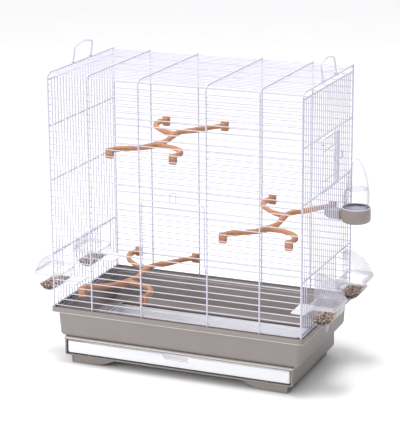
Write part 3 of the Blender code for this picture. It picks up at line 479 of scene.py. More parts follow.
# Side wirework
# Thin uprights spot welded inside five thick rails, with openings left for the feeders on both
# sides, and for the drinker and the small door on the right. Short wires close the cut ends.
UPRIGHT_X = 0.27765
RAIL_X = 0.28
STUB_X = 0.27935
UPRIGHT_PITCH = 0.0130833
UPRIGHT_TOP = 0.62196
RAIL_HALF = 0.15325
RAIL_HEIGHTS = (0.12848, 0.24451, 0.40551, 0.52258, 0.62108)
SILL_Z = 0.16551
DRINKER_GATE = (0.31471, 0.33771)
PLAIN = ((CAGE_FOOT, UPRIGHT_TOP),)
PAST_WELD = WIRE_RADIUS / 2
AT_FEEDER = ((CAGE_FOOT, SILL_Z + PAST_WELD), (RAIL_HEIGHTS[1] - PAST_WELD, UPRIGHT_TOP))
AT_DRINKER = (AT_FEEDER[0], (RAIL_HEIGHTS[1] - PAST_WELD, DRINKER_GATE[0]), (DRINKER_GATE[1], UPRIGHT_TOP))
AT_SMALL_DOOR = ((CAGE_FOOT, RAIL_HEIGHTS[2] + PAST_WELD), (RAIL_HEIGHTS[3] - PAST_WELD, UPRIGHT_TOP))
STUB_END_SHARE = 0.04
LEFT_RUNS = ((-11, -9, PLAIN), (-8, -6, AT_FEEDER), (-5, 5, PLAIN), (6, 8, AT_FEEDER), (9, 11, PLAIN))
RIGHT_RUNS = (
    (-11, -9, PLAIN), (-8, -6, AT_FEEDER), (-5, -3, PLAIN), (-2, 3, AT_SMALL_DOOR), (4, 5, PLAIN),
    (6, 6, AT_FEEDER), (7, 7, AT_DRINKER), (8, 8, AT_FEEDER), (9, 11, PLAIN),
)


def side_parts(side, runs, stubs):
    """The uprights, rails and short wires of one side panel, left at -1 and right at 1."""
    parts = []
    for first, last, spans in runs:
        for low, top in spans:
            rails = [z for z in RAIL_HEIGHTS if low - WIRE_RADIUS < z < top + WIRE_RADIUS]
            y = first * UPRIGHT_PITCH
            upright = welded_wire(
                (side * UPRIGHT_X, y, low), (side * UPRIGHT_X, y, top), rails or [low], "x",
                (side * (WIRE_RADIUS - WELD_SINK), 0, 0),
            )
            parts.append(in_a_row(upright, last - first + 1, (0, UPRIGHT_PITCH, 0)))
    for z in RAIL_HEIGHTS:
        parts.append(straight_wire((side * RAIL_X, -RAIL_HALF, z), (side * RAIL_X, RAIL_HALF, z), RIB_RADIUS))
    for first, last, z in stubs:
        start = (side * STUB_X, (first - STUB_END_SHARE) * UPRIGHT_PITCH, z)
        end = (side * STUB_X, (last + STUB_END_SHARE) * UPRIGHT_PITCH, z)
        parts.append(straight_wire(start, end, WIRE_RADIUS))
    return parts


feeder_stubs = ((-9, -5, SILL_Z), (5, 9, SILL_Z))
drinker_stubs = tuple((6, 8, z) for z in DRINKER_GATE)
left_parts = side_parts(-1, LEFT_RUNS, feeder_stubs)
finish_piece("left_panel", left_parts, powder_coat, "cage", ("left_grille",))
right_parts = side_parts(1, RIGHT_RUNS, feeder_stubs + drinker_stubs)

SMALL_DOOR_X = 0.28345
SMALL_DOOR_FRONT = -0.04205
SMALL_DOOR_BACK = 0.05513
SMALL_DOOR_LOW = 0.40551
SMALL_DOOR_TOP = 0.51658
HINGE_SHARES = (0.1, 0.9)
CURL = 0.0028
small_door_height = SMALL_DOOR_TOP - SMALL_DOOR_LOW
for share in HINGE_SHARES:
    z = SMALL_DOOR_LOW + share * small_door_height
    curl = arc((SMALL_DOOR_X, SMALL_DOOR_FRONT, z), CURL, 200, -100, "z", 10)
    lead = (UPRIGHT_X, -3 * UPRIGHT_PITCH, z)
    right_parts.append(bent_wire([lead] + curl, WIRE_RADIUS))
finish_piece("right_panel", right_parts, powder_coat, "cage", ("right_grille",))


# Front door
# A frame of slightly thicker wire, curled at its foot round a wire of the front, with nine thin
# wires welded inside it and a loop above it that springs in over the wire at the doorway's head.
FRAME_RADIUS = 0.0014
DOOR_Y = -0.158
DOOR_HALF = 0.07019
DOOR_EYE_X = 0.07169
DOOR_LOW = 0.2438
DOOR_KNEE = 0.2579
DOOR_TOP = 0.3848
DOOR_CORNER = 0.008
DOOR_WIRE_Y = -0.156
DOOR_WIRES = 9
PULL_HALF = 0.007
PULL_BEND = 0.4024
PULL_REACH = 0.012
PULL_STEPS = 12

curl_right = [(DOOR_EYE_X, *point[1:]) for point in arc((0, FRONT_WIRE_Y, DOOR_LOW), CURL, 400, 180, "x", 9)]
leg_right = [(DOOR_EYE_X, DOOR_Y, DOOR_LOW + 2 * CURL), (DOOR_HALF, DOOR_Y, DOOR_KNEE)]
door_right = curl_right + leg_right + [(DOOR_HALF, DOOR_Y, DOOR_TOP, DOOR_CORNER)]
door_left = [(-point[0], *point[1:]) for point in reversed(door_right)]
door_frame = bent_wire(door_right + door_left, FRAME_RADIUS)
door_wire = welded_wire(
    (-DOOR_HALF, DOOR_WIRE_Y, DOOR_KNEE), (DOOR_HALF, DOOR_WIRE_Y, DOOR_KNEE), (-DOOR_HALF, DOOR_HALF), "y",
    (0, -WIRE_RADIUS + WELD_SINK, 0),
)
in_a_row(door_wire, DOOR_WIRES, (0, 0, WIRE_PITCH))
pull_arc = [
    (PULL_HALF * math.cos(turn), DOOR_Y + PULL_REACH * math.sin(turn), PULL_BEND)
    for turn in (math.pi * (1 - step / PULL_STEPS) for step in range(1, PULL_STEPS))
]
pull = bent_wire(
    [(-PULL_HALF, DOOR_Y, DOOR_TOP - FRAME_RADIUS), (-PULL_HALF, DOOR_Y, PULL_BEND, WIRE_RADIUS)] + pull_arc
    + [(PULL_HALF, DOOR_Y, PULL_BEND, WIRE_RADIUS), (PULL_HALF, DOOR_Y, DOOR_TOP - FRAME_RADIUS)],
    WIRE_RADIUS,
)
door_welds = weld_spots([(-PULL_HALF, DOOR_Y, DOOR_TOP), (PULL_HALF, DOOR_Y, DOOR_TOP)], "y")
door_parts = (door_frame, door_wire, pull, door_welds)
finish_piece("front_door_wires", door_parts, powder_coat, "front_door", ("front_door",))


# Small side door and its latch
# A closed frame with the panel's own uprights welded in it and two cross wires outside, hung in
# two curls at its front edge. A long wire ring slides along the cross wires as the latch.
SMALL_DOOR_WIRES = 6
CROSS_WIRE_X = 0.28545
CROSS_SHARES = (0.22, 0.78)
SMALL_CORNER = 0.003
LATCH_X = 0.28625
LATCH_FRONT = 0.02413
LATCH_BACK = 0.07313
LATCH_Z = 0.46327
LATCH_HALF = 0.0075
LATCH_CORNER = 0.005

small_frame = bent_wire(
    [
        (SMALL_DOOR_X, y, z, SMALL_CORNER) for y, z in (
            (SMALL_DOOR_FRONT, SMALL_DOOR_LOW), (SMALL_DOOR_BACK, SMALL_DOOR_LOW),
            (SMALL_DOOR_BACK, SMALL_DOOR_TOP), (SMALL_DOOR_FRONT, SMALL_DOOR_TOP),
        )
    ],
    FRAME_RADIUS, closed=True,
)
cross_heights = [SMALL_DOOR_LOW + share * small_door_height for share in CROSS_SHARES]
first_y = -2 * UPRIGHT_PITCH
small_wire = welded_wire(
    (SMALL_DOOR_X, first_y, SMALL_DOOR_LOW), (SMALL_DOOR_X, first_y, SMALL_DOOR_TOP),
    [SMALL_DOOR_LOW, *cross_heights, SMALL_DOOR_TOP], "x", (WELD_THIN, 0, 0),
)
in_a_row(small_wire, SMALL_DOOR_WIRES, (0, UPRIGHT_PITCH, 0))
small_door_parts = [small_frame, small_wire]
for z in cross_heights:
    start = (CROSS_WIRE_X, SMALL_DOOR_FRONT, z)
    small_door_parts.append(straight_wire(start, (CROSS_WIRE_X, SMALL_DOOR_BACK, z), WIRE_RADIUS))
finish_piece("side_door_wires", small_door_parts, powder_coat, "side_door", ("side_door",))

latch = bent_wire(
    [
        (LATCH_X, y, z, LATCH_CORNER) for y, z in (
            (LATCH_FRONT, LATCH_Z - LATCH_HALF), (LATCH_BACK, LATCH_Z - LATCH_HALF),
            (LATCH_BACK, LATCH_Z + LATCH_HALF), (LATCH_FRONT, LATCH_Z + LATCH_HALF),
        )
    ],
    WIRE_RADIUS, closed=True,
)
latch_node = "side_door_latch"
finish_piece(f"{latch_node}_ring", (latch,), powder_coat, latch_node, (latch_node,))


# Carry handles
# A bow of 3 mm wire on each side edge of the roof, curled at both feet round the edge rib so that
# it folds flat. Both stand leaning a little inwards.
HANDLE_RADIUS = 0.0015
HANDLE_ENDS = (-0.03966, 0.04461)
HANDLE_HEIGHT = 0.0425
HANDLE_RISE = 0.006
HANDLE_CORNER = 0.009
HANDLE_CURL = 0.0036
HANDLE_LEAN = 8.0
HANDLE_CROWN = 8

handle_front, handle_back = HANDLE_ENDS
handle_middle = (handle_front + handle_back) / 2
shoulder = HANDLE_HEIGHT - HANDLE_RISE
back_curl = arc((0, handle_back, 0), HANDLE_CURL, -60, 190, "y", 10)
leg = [(0, handle_back, 3 * HANDLE_CURL), (0, handle_back, shoulder, HANDLE_CORNER)]
crown = []
for step in range(1, HANDLE_CROWN):
    share = 1 - 2 * step / HANDLE_CROWN
    y = handle_middle + share * (handle_back - HANDLE_CORNER - handle_middle)
    crown.append((0, y, shoulder + HANDLE_RISE * (1 - share * share)))
to_back = back_curl[::-1] + leg
to_front = [(point[0], 2 * handle_middle - point[1], *point[2:]) for point in reversed(to_back)]
bow = bent_wire(to_back + crown + to_front, HANDLE_RADIUS)
for name, side in (("left_handle", -1), ("right_handle", 1)):
    handle = copy_of(bow, flip=(side, 1, 1))
    handle.rotation_euler = (0, math.radians(-side * HANDLE_LEAN), 0)
    handle.location = (side * RAIL_X, 0, ROOF_Z)
    finish_piece(f"{name}_bow", (keep_place(),), powder_coat, name, (name,))
bpy.data.objects.remove(bow)


# Clips
# A wire staple on each side. Its two legs hook over the lowest rail from inside, pass over the
# tub's rim and meet in a finger bar, so that it swings up and lets the wirework go.
CLIP_Y = -0.01308
CLIP_HALF = 0.0044
CLIP_HOOK = 0.00335
CLIP_OUT = 0.2885
CLIP_TUCK = 0.0012
CLIP_LOW = 0.0975
RIM_TOP = 0.1275
LIP_LOW = 0.1165
clip_leg = [
    (x, CLIP_Y - CLIP_HALF, z)
    for x, _, z in arc((RAIL_X, 0, RAIL_HEIGHTS[0]), CLIP_HOOK, 185, 60, "y", 7)
]
clip_leg += [
    (CLIP_OUT, CLIP_Y - CLIP_HALF, RIM_TOP, CLIP_HOOK / 2), (CLIP_OUT, CLIP_Y - CLIP_HALF, LIP_LOW),
    (CLIP_OUT - CLIP_TUCK, CLIP_Y - CLIP_HALF, CLIP_LOW, CLIP_HOOK / 2),
]
clip_other = [(point[0], 2 * CLIP_Y - point[1], *point[2:]) for point in reversed(clip_leg)]
staple = bent_wire(clip_leg + clip_other, WIRE_RADIUS)
for name, side in (("left_clip", -1), ("right_clip", 1)):
    clip = copy_of(staple, flip=(side, 1, 1))
    finish_piece(f"{name}_staple", (clip,), powder_coat, name, (name,))
bpy.data.objects.remove(staple)


# Tub
# An injection moulded tray of taupe plastic with a fine matt grain. Its rim carries a channel
# that the wirework stands in, and its floor is open over the drawer.
TUB_CORNER = 0.0078
TUB_CORNER_STEPS = 8
TUB_LOW = 0.0590
FLOOR_TOP = 0.0615
OPENING_HALF = 0.2465
OPENING_FRONT = -0.1345
OPENING_BACK = 0.1125
TUB_BOTTOM_ROUND = 0.010
ROUND_STEPS = 5
WALL_FOOT = 0.0065
WALL_HEAD = 0.004
LIP_OUT = 0.0065
LIP_BEAD = 0.0006
LIP_BEAD_HEIGHT = 0.0015
LIP_ROUND = 0.0009
LIP_IN = 0.0035
CHANNEL_IN = 0.006
CHANNEL_FLOOR = 0.1190
INNER_TOP = 0.1265
INNER_IN = 0.0085
EDGE_ROUND = 0.0004
EDGE_ANGLE = math.radians(35)
# Heights of two thin bands painted near white: painted highlights along the housing's flange and on the bead
# under the tub's lip.
PAINTED_HIGHLIGHT_LINES = ((0.0562, 0.0588), (0.1164, 0.1178))

taupe, nodes = new_finish("taupe_plastic", specular_ior_level=0.42)
grain = nodes.noise(1900.0, 2.0, 0.7)
flow = nodes.noise(14.0, 3.0)
# Painted highlight lines: the two bands turn the taupe near white.
painted_highlight = nodes.band(*PAINTED_HIGHLIGHT_LINES[0]) + nodes.band(*PAINTED_HIGHLIGHT_LINES[1])
body_colour = nodes.blend(flow, srgb(138, 131, 128), srgb(146, 139, 136))
feed(
    taupe,
    base_color=nodes.blend(painted_highlight * 0.7, body_colour, srgb(226, 218, 214)),
    roughness=0.42 + grain * 0.14,
    normal=nodes.bump(grain, 0.00008, 0.8),
)


def rounded_ring(half_x, front, back, z, corner, steps):
    """A flat plate with rounded corners, left in edit mode with its face selected."""
    bpy.ops.object.select_all(action="DESELECT")
    bpy.ops.mesh.primitive_plane_add(size=2, location=(0, (front + back) / 2, z))
    bpy.context.object.scale = (half_x, (back - front) / 2, 1)
    ring = keep_place()
    bpy.ops.object.mode_set(mode="EDIT")
    bpy.ops.mesh.bevel(offset=corner, segments=steps, affect="VERTICES")
    bpy.ops.mesh.select_all(action="SELECT")
    return ring


def draw_out(start, steps):
    """Extrudes the selected ring through steps of half width, front, back and height."""
    half_x, front, back, z = start
    for next_x, next_front, next_back, next_z in steps:
        move = ((next_front + next_back) - (front + back)) / 2
        bpy.ops.mesh.extrude_region_move(TRANSFORM_OT_translate={"value": (0, move, next_z - z)})
        grow = (next_x / half_x, (next_back - next_front) / (back - front), 1)
        middle = (0, (next_front + next_back) / 2, next_z)
        bpy.ops.transform.resize(value=grow, center_override=middle)
        half_x, front, back, z = next_x, next_front, next_back, next_z


def soften(piece, width, segments=2, angle=EDGE_ANGLE):
    """Rounds the moulding's hard edges."""
    return modifier_on(
        piece, "BEVEL", width=width, segments=segments, limit_method="ANGLE", angle_limit=angle,
    )


tub_profile = []
for step in range(ROUND_STEPS + 1):
    turn = math.pi / 2 * step / ROUND_STEPS
    out = -WALL_FOOT - TUB_BOTTOM_ROUND * (1 - math.sin(turn))
    tub_profile.append((out, TUB_LOW + TUB_BOTTOM_ROUND * (1 - math.cos(turn))))
tub_profile += [
    (-WALL_HEAD, LIP_LOW), (LIP_OUT + LIP_BEAD, LIP_LOW), (LIP_OUT + LIP_BEAD, LIP_LOW + LIP_BEAD_HEIGHT),
    (LIP_OUT, LIP_LOW + LIP_BEAD_HEIGHT + LIP_BEAD), (LIP_OUT, RIM_TOP - LIP_ROUND),
    (LIP_OUT - LIP_ROUND, RIM_TOP), (LIP_IN, RIM_TOP), (LIP_IN, CHANNEL_FLOOR),
    (-CHANNEL_IN, CHANNEL_FLOOR), (-CHANNEL_IN, INNER_TOP), (-INNER_IN, INNER_TOP),
    (-INNER_IN - LIP_BEAD, FLOOR_TOP),
]
tub_steps = [(RAIL_X + out, -HALF_DEPTH - out, HALF_DEPTH + out, z) for out, z in tub_profile]
tub_steps.append((OPENING_HALF, OPENING_FRONT, OPENING_BACK, FLOOR_TOP))
opening = (OPENING_HALF, OPENING_FRONT, OPENING_BACK, TUB_LOW)
tub = rounded_ring(*opening, TUB_CORNER, TUB_CORNER_STEPS)
draw_out(opening, tub_steps + [opening])
pick("FACE", lambda middle, face: len(face.verts) > 4)
bpy.ops.mesh.delete(type="ONLY_FACE")
bpy.ops.mesh.select_all(action="SELECT")
bpy.ops.mesh.remove_doubles(threshold=LIP_BEAD / 10)
bpy.ops.object.mode_set(mode="OBJECT")
soften(tub, EDGE_ROUND)
finish_piece("tub_moulding", (tub,), taupe, "cage", ("base_tub",))


# Drawer housing
# A shallow taupe case screwed under the tub, open at the front for the drawer and at the top
# under the tub's opening, with a flange that carries a thin painted highlight line all round.
HOUSING_HALF = 0.260
HOUSING_FRONT = -0.151
HOUSING_BACK = 0.119
HOUSING_LOW = 0.0185
HOUSING_TOP = 0.0587
HOUSING_WALL = 0.0025
FLANGE_OUT = 0.002
FLANGE_LOW = 0.0537
MOUTH_HALF = 0.245
MOUTH_FRONT = -0.1385
MOUTH_BACK = 0.1134
RUNNER_X = 0.2036
RUNNER_HALF = 0.0025
RUNNER_TOP = 0.0237


def block(x0, x1, y0, y1, z0, z1):
    """A box at its place, left in edit mode."""
    bpy.ops.object.select_all(action="DESELECT")
    middle = ((x0 + x1) / 2, (y0 + y1) / 2, (z0 + z1) / 2)
    bpy.ops.mesh.primitive_cube_add(size=1, location=middle)
    bpy.context.object.scale = (x1 - x0, y1 - y0, z1 - z0)
    solid = keep_place()
    bpy.ops.object.mode_set(mode="EDIT")
    return solid


def thicken(piece, wall):
    """Gives an open skin its wall. It keeps its outer faces where they are."""
    return modifier_on(piece, "SOLIDIFY", thickness=wall, offset=-1.0, use_even_offset=True)


case = block(-HOUSING_HALF, HOUSING_HALF, HOUSING_FRONT, HOUSING_BACK, HOUSING_LOW, FLANGE_LOW)
pick("FACE", lambda middle, face: face.normal.z > 0.5 or face.normal.y < -0.5)
bpy.ops.mesh.delete(type="FACE")
bpy.ops.object.mode_set(mode="OBJECT")
soften(case, HOUSING_WALL, 4)
thicken(case, HOUSING_WALL)
flange_half = HOUSING_HALF + FLANGE_OUT
flange = block(
    -flange_half, flange_half, HOUSING_FRONT - FLANGE_OUT, HOUSING_BACK + FLANGE_OUT, FLANGE_LOW, HOUSING_TOP,
)
pick("EDGE", lambda middle, edge: abs(edge.verts[0].co.z - edge.verts[1].co.z) > FLANGE_OUT)
bpy.ops.mesh.bevel(offset=HOUSING_WALL, segments=4)
pick("FACE", lambda middle, face: abs(face.normal.z) > 0.5)
bpy.ops.mesh.delete(type="FACE")
bpy.ops.object.mode_set(mode="OBJECT")
mouth = rounded_ring(MOUTH_HALF, MOUTH_FRONT, MOUTH_BACK, HOUSING_TOP, HOUSING_WALL, 4)
bpy.ops.mesh.extrude_region_move(TRANSFORM_OT_translate={"value": (0, 0, FLANGE_LOW - HOUSING_TOP)})
bpy.ops.mesh.delete(type="ONLY_FACE")
bpy.ops.object.mode_set(mode="OBJECT")
collar = joined(flange, mouth)
bpy.ops.object.mode_set(mode="EDIT")
for z in (FLANGE_LOW, HOUSING_TOP):
    pick("EDGE", lambda middle, edge: max(abs(point.co.z - z) for point in edge.verts) < EDGE_ROUND)
    bpy.ops.mesh.bridge_edge_loops()
bpy.ops.object.mode_set(mode="OBJECT")
soften(collar, EDGE_ROUND)
housing_parts = [case, collar]
for side in (-1, 1):
    runner = block(
        side * RUNNER_X - RUNNER_HALF, side * RUNNER_X + RUNNER_HALF,
        HOUSING_FRONT + HOUSING_WALL, HOUSING_BACK - HOUSING_WALL, HOUSING_LOW + HOUSING_WALL / 2, RUNNER_TOP,
    )
    bpy.ops.mesh.bevel(offset=EDGE_ROUND, segments=2)
    bpy.ops.object.mode_set(mode="OBJECT")
    housing_parts.append(runner)
finish_piece("housing_moulding", housing_parts, taupe, "cage", ("drawer_housing",))


# Feet
# A skirt under each corner of the case, moulded in the same taupe plastic. It stands flat at the
# corner and sweeps up to nothing along both walls.
FOOT_HEIGHT = 0.0182
FOOT_OUT_X = 0.249
FOOT_FRONT_Y = 0.147
FOOT_BACK_Y = 0.107
FOOT_TAPER = 0.002
FOOT_WALL = 0.003
FOOT_RUN_X = (0.054, 0.052)
FOOT_RUN_Y = (0.046, 0.022)
SWEEP_STEPS = 10
SWEEP_OUT_POWER = 1.5
SWEEP_DOWN_POWER = 1.6


def plate(points, thickness):
    """An outline filled and drawn out into a solid."""
    solid = drawn_line(points)
    bpy.ops.mesh.select_all(action="SELECT")
    bpy.ops.mesh.edge_face_add()
    bpy.ops.mesh.extrude_region_move(TRANSFORM_OT_translate={"value": thickness})
    bpy.ops.object.mode_set(mode="OBJECT")
    return solid


def skirt(outer, run, axis, face):
    """One wall of a foot: its outline drawn, filled and given its thickness."""
    flat, sweep = run
    outline = [(outer - FOOT_TAPER, 0.0), (outer, FOOT_HEIGHT), (outer - flat - sweep, FOOT_HEIGHT)]
    for step in range(1, SWEEP_STEPS + 1):
        turn = math.pi / 2 * step / SWEEP_STEPS
        down = 1 - math.sin(turn) ** SWEEP_DOWN_POWER
        outline.append((outer - flat - sweep * math.cos(turn) ** SWEEP_OUT_POWER, FOOT_HEIGHT * down))
    if axis == "y":
        return plate([(a, face, b) for a, b in outline], (0, -FOOT_WALL, 0))
    return plate([(face, a, b) for a, b in outline], (-FOOT_WALL, 0, 0))


for end_name, end, outer_y in (("front", -1, FOOT_FRONT_Y), ("back", 1, FOOT_BACK_Y)):
    walls = joined(
        skirt(FOOT_OUT_X, FOOT_RUN_X, "y", outer_y - FOOT_TAPER),
        skirt(outer_y, FOOT_RUN_Y, "x", FOOT_OUT_X - FOOT_TAPER),
    )
    for side_name, side in (("left", -1), ("right", 1)):
        foot = copy_of(walls, flip=(side, end, 1))
        soften(foot, EDGE_ROUND)
        label = f"foot_{end_name}_{side_name}"
        finish_piece(f"{label}_skirt", (foot,), taupe, "cage", (label,))
    bpy.data.objects.remove(walls)


# Drawer
# A white moulded tray that runs on two ribs in the case. Its front wall has a finger notch with a
# small lip under it.
DRAWER_HALF = 0.2545
DRAWER_FRONT = -0.1505
DRAWER_BACK = 0.1135
DRAWER_LOW = 0.0240
DRAWER_TOP = 0.0504
DRAWER_WALL = 0.002
DRAWER_CORNER = 0.004
NOTCH_HALF = 0.034
NOTCH_SLOPE = 0.006
NOTCH_DEPTH = 0.0075
DRAWER_LIP = 0.0024

white_plastic, nodes = new_finish("white_plastic", specular_ior_level=0.5)
haze = nodes.noise(35.0, 3.0)
skin = nodes.noise(800.0, 2.0)
feed(
    white_plastic,
    base_color=nodes.blend(haze, srgb(230, 231, 235), srgb(238, 239, 242)),
    roughness=0.26 + haze * 0.16,
    normal=nodes.bump(skin, 0.00004, 0.6),
)

bottom = (DRAWER_HALF - DRAWER_WALL, DRAWER_FRONT + DRAWER_WALL, DRAWER_BACK - DRAWER_WALL, DRAWER_LOW)
tray = rounded_ring(*bottom, DRAWER_CORNER, 6)
tray_steps = []
for inset, z in (
    (DRAWER_WALL * 0.3, DRAWER_LOW + DRAWER_WALL * 0.3), (0, DRAWER_LOW + DRAWER_WALL), (0, DRAWER_TOP),
    (DRAWER_WALL, DRAWER_TOP), (DRAWER_WALL, DRAWER_LOW + 2 * DRAWER_WALL),
    (DRAWER_CORNER, DRAWER_LOW + DRAWER_WALL),
):
    tray_steps.append((DRAWER_HALF - inset, DRAWER_FRONT + inset, DRAWER_BACK - inset, z))
draw_out(bottom, tray_steps)
bpy.ops.mesh.select_mode(type="EDGE")
bpy.ops.mesh.select_all(action="DESELECT")
bpy.ops.mesh.select_non_manifold()
bpy.ops.mesh.edge_face_add()
bpy.ops.object.mode_set(mode="OBJECT")


def carve(piece, cutter):
    """Cuts one shape out of another and removes the cutter."""
    modifier_on(piece, "BOOLEAN", operation="DIFFERENCE", object=cutter)
    bpy.data.objects.remove(cutter)
    return piece


notch_low = DRAWER_TOP - NOTCH_DEPTH
notch_points = (
    (-NOTCH_HALF, DRAWER_TOP + NOTCH_DEPTH), (-NOTCH_HALF + NOTCH_SLOPE, notch_low, NOTCH_SLOPE / 2),
    (NOTCH_HALF - NOTCH_SLOPE, notch_low, NOTCH_SLOPE / 2), (NOTCH_HALF, DRAWER_TOP + NOTCH_DEPTH),
)
notch = drawn_line([(point[0], DRAWER_FRONT - DRAWER_WALL, *point[1:]) for point in notch_points])
bpy.ops.mesh.select_all(action="SELECT")
bpy.ops.mesh.edge_face_add()
bpy.ops.mesh.extrude_region_move(TRANSFORM_OT_translate={"value": (0, 2.5 * DRAWER_WALL, 0)})
bpy.ops.mesh.select_all(action="SELECT")
bpy.ops.mesh.normals_make_consistent(inside=False)
bpy.ops.object.mode_set(mode="OBJECT")
carve(tray, notch)
soften(tray, EDGE_ROUND)
lip_reach = NOTCH_HALF - NOTCH_SLOPE
lip = block(
    -lip_reach, lip_reach, DRAWER_FRONT - DRAWER_LIP, DRAWER_FRONT + DRAWER_WALL / 2,
    notch_low - 2 * DRAWER_LIP, notch_low - DRAWER_LIP,
)
bpy.ops.mesh.bevel(offset=DRAWER_LIP / 4, segments=3)
bpy.ops.object.mode_set(mode="OBJECT")
finish_piece("drawer_moulding", (tray, lip), white_plastic, "drawer", ("drawer_tray",))


# Perches
# Three perches moulded in one pattern: a knotty branch with a side twig at each end, in orange
# brown plastic with a bark relief. Four blocks carry each one, clipped over a front or back wire.
PERCHES = (("top", -0.077, 24), ("middle", 0.175, 13), ("low", -0.149, 2))
PERCH_SPREAD = 0.070
PERCH_END = 0.14395
PERCH_ABOVE_WIRE = 0.0095
PERCH_RISE = 0.0025
BRANCH_RADIUS = 0.0060
TWIG_RADIUS = 0.0056
KNOT_SHARES = (1.0, 1.0, 1.1, 0.9, 1.08, 1.2, 0.95, 1.18, 0.94, 1.1, 0.9, 1.02, 1.0)
MAIN_SHARES = (
    (-0.97, -1.0), (-0.97, -0.96), (-0.84, -0.86), (-0.51, -0.76), (-0.17, -0.613), (0.03, -0.413),
    (0.10, -0.187), (0.03, 0.12), (0.07, 0.367), (0.40, 0.547), (0.74, 0.80), (0.97, 0.96), (0.97, 1.0),
)
BACK_TWIG_SHARES = (
    (0.05, 0.235), (-0.23, 0.253), (-0.66, 0.40), (-1.0, 0.613), (-1.1, 0.84), (-1.03, 0.96), (-1.03, 1.0),
)
FRONT_TWIG_SHARES = (
    (0.05, -0.46), (0.457, -0.507), (0.857, -0.613), (1.086, -0.80), (1.07, -0.96), (1.07, -1.0),
)
BARK_VOXEL = 0.0008
BARK_DEPTH = 0.0009
BARK_RIDGE = 0.006
CAP_OUT = 0.15325
CAP_DEPTH = 0.009
CAP_HALF = 0.0085
CAP_HEIGHT = 0.021
CAP_BELOW_WIRE = 0.0052
CAP_ROUND = 0.0022
CAP_SLOT_HALF = 0.0014
CAP_SLOT_DEPTH = 0.0016
TONGUE_HALF = 0.00425
TONGUE_GAP = 0.0003
TONGUE_THICK = 0.0018
COLLAR_RADIUS = 0.0072
COLLAR_DEPTH = 0.0025

bark, nodes = new_finish("perch_plastic", specular_ior_level=0.45)
stretch = nodes.node("ShaderNodeMapping", None, {"Vector": nodes.place(), "Scale": (1.0, 0.35, 1.0)})
fibres = {"Vector": stretch, "Scale": 420.0, "Detail": 4.0, "Roughness": 0.6}
streak = nodes.node("ShaderNodeTexNoise", None, fibres)
tone = nodes.noise(55.0, 3.0)
brown = nodes.blend(tone, srgb(176, 119, 85), srgb(212, 161, 122))
feed(
    bark,
    base_color=nodes.blend(streak ** 3 * 2.4, brown, srgb(140, 84, 52)),
    roughness=0.42 + streak * 0.2,
    normal=nodes.bump(streak, 0.0004, 0.7),
)


def bough(shares, radius, knots):
    """A smooth stick along shares of the perch's size, with swellings where the knots are."""
    points = [(across * PERCH_SPREAD, along * PERCH_END, along * PERCH_RISE) for across, along in shares]
    stick = drawn_line(points)
    bpy.ops.object.mode_set(mode="OBJECT")
    bpy.ops.object.convert(target="CURVE")
    stick.data.bevel_depth = radius
    stick.data.bevel_resolution = 4
    stick.data.resolution_u = 6
    stick.data.use_fill_caps = True
    bpy.ops.object.mode_set(mode="EDIT")
    bpy.ops.curve.select_all(action="SELECT")
    bpy.ops.curve.spline_type_set(type="BEZIER")
    bpy.ops.curve.handle_type_set(type="AUTOMATIC")
    bpy.ops.object.mode_set(mode="OBJECT")
    for point, knot in zip(stick.data.splines[0].bezier_points, knots):
        point.radius = knot
    bpy.ops.object.convert(target="MESH")
    return stick


branch = joined(
    bough(MAIN_SHARES, BRANCH_RADIUS, KNOT_SHARES),
    bough(BACK_TWIG_SHARES, TWIG_RADIUS, KNOT_SHARES[1:]),
    bough(FRONT_TWIG_SHARES, TWIG_RADIUS, KNOT_SHARES[2:]),
)
modifier_on(branch, "REMESH", mode="VOXEL", voxel_size=BARK_VOXEL)
modifier_on(branch, "SMOOTH", factor=0.5, iterations=8)
ridges = bpy.data.textures.new("bark_ridges", "CLOUDS")
ridges.noise_scale = BARK_RIDGE
ridges.noise_depth = 2
modifier_on(branch, "DISPLACE", texture=ridges, strength=BARK_DEPTH, mid_level=0.5)

cap = block(
    -CAP_HALF, CAP_HALF, CAP_OUT - CAP_DEPTH, CAP_OUT, -CAP_BELOW_WIRE, CAP_HEIGHT - CAP_BELOW_WIRE,
)
bpy.ops.mesh.bevel(offset=CAP_ROUND, segments=4)
bpy.ops.object.mode_set(mode="OBJECT")
slot = block(
    -2 * CAP_HALF, 2 * CAP_HALF, CAP_OUT - CAP_SLOT_DEPTH, CAP_OUT + CAP_SLOT_DEPTH,
    -CAP_SLOT_HALF, CAP_SLOT_HALF,
)
bpy.ops.object.mode_set(mode="OBJECT")
carve(cap, slot)
cap_parts = [cap]
for way in (-1, 1):
    near_wire = way * (WIRE_RADIUS + TONGUE_GAP)
    far_side = near_wire + way * TONGUE_THICK
    cap_parts.append(block(
        -TONGUE_HALF, TONGUE_HALF, CAP_OUT - TONGUE_GAP, CAP_OUT + TONGUE_GAP + WIRE_RADIUS,
        min(near_wire, far_side), max(near_wire, far_side),
    ))
    bpy.ops.mesh.bevel(offset=TONGUE_THICK / 4, segments=2)
    bpy.ops.object.mode_set(mode="OBJECT")
bpy.ops.object.select_all(action="DESELECT")
bpy.ops.mesh.primitive_cylinder_add(
    vertices=28, radius=COLLAR_RADIUS, depth=2 * COLLAR_DEPTH, rotation=(math.pi / 2, 0, 0),
    location=(0, CAP_OUT - CAP_DEPTH, PERCH_ABOVE_WIRE),
)
collar = keep_place()
bpy.ops.object.mode_set(mode="EDIT")
pick("FACE", lambda middle, face: len(face.verts) > 4)
bpy.ops.mesh.bevel(offset=COLLAR_DEPTH / 3, segments=3)
bpy.ops.object.mode_set(mode="OBJECT")
cap_parts.append(collar)
cap = joined(*cap_parts)

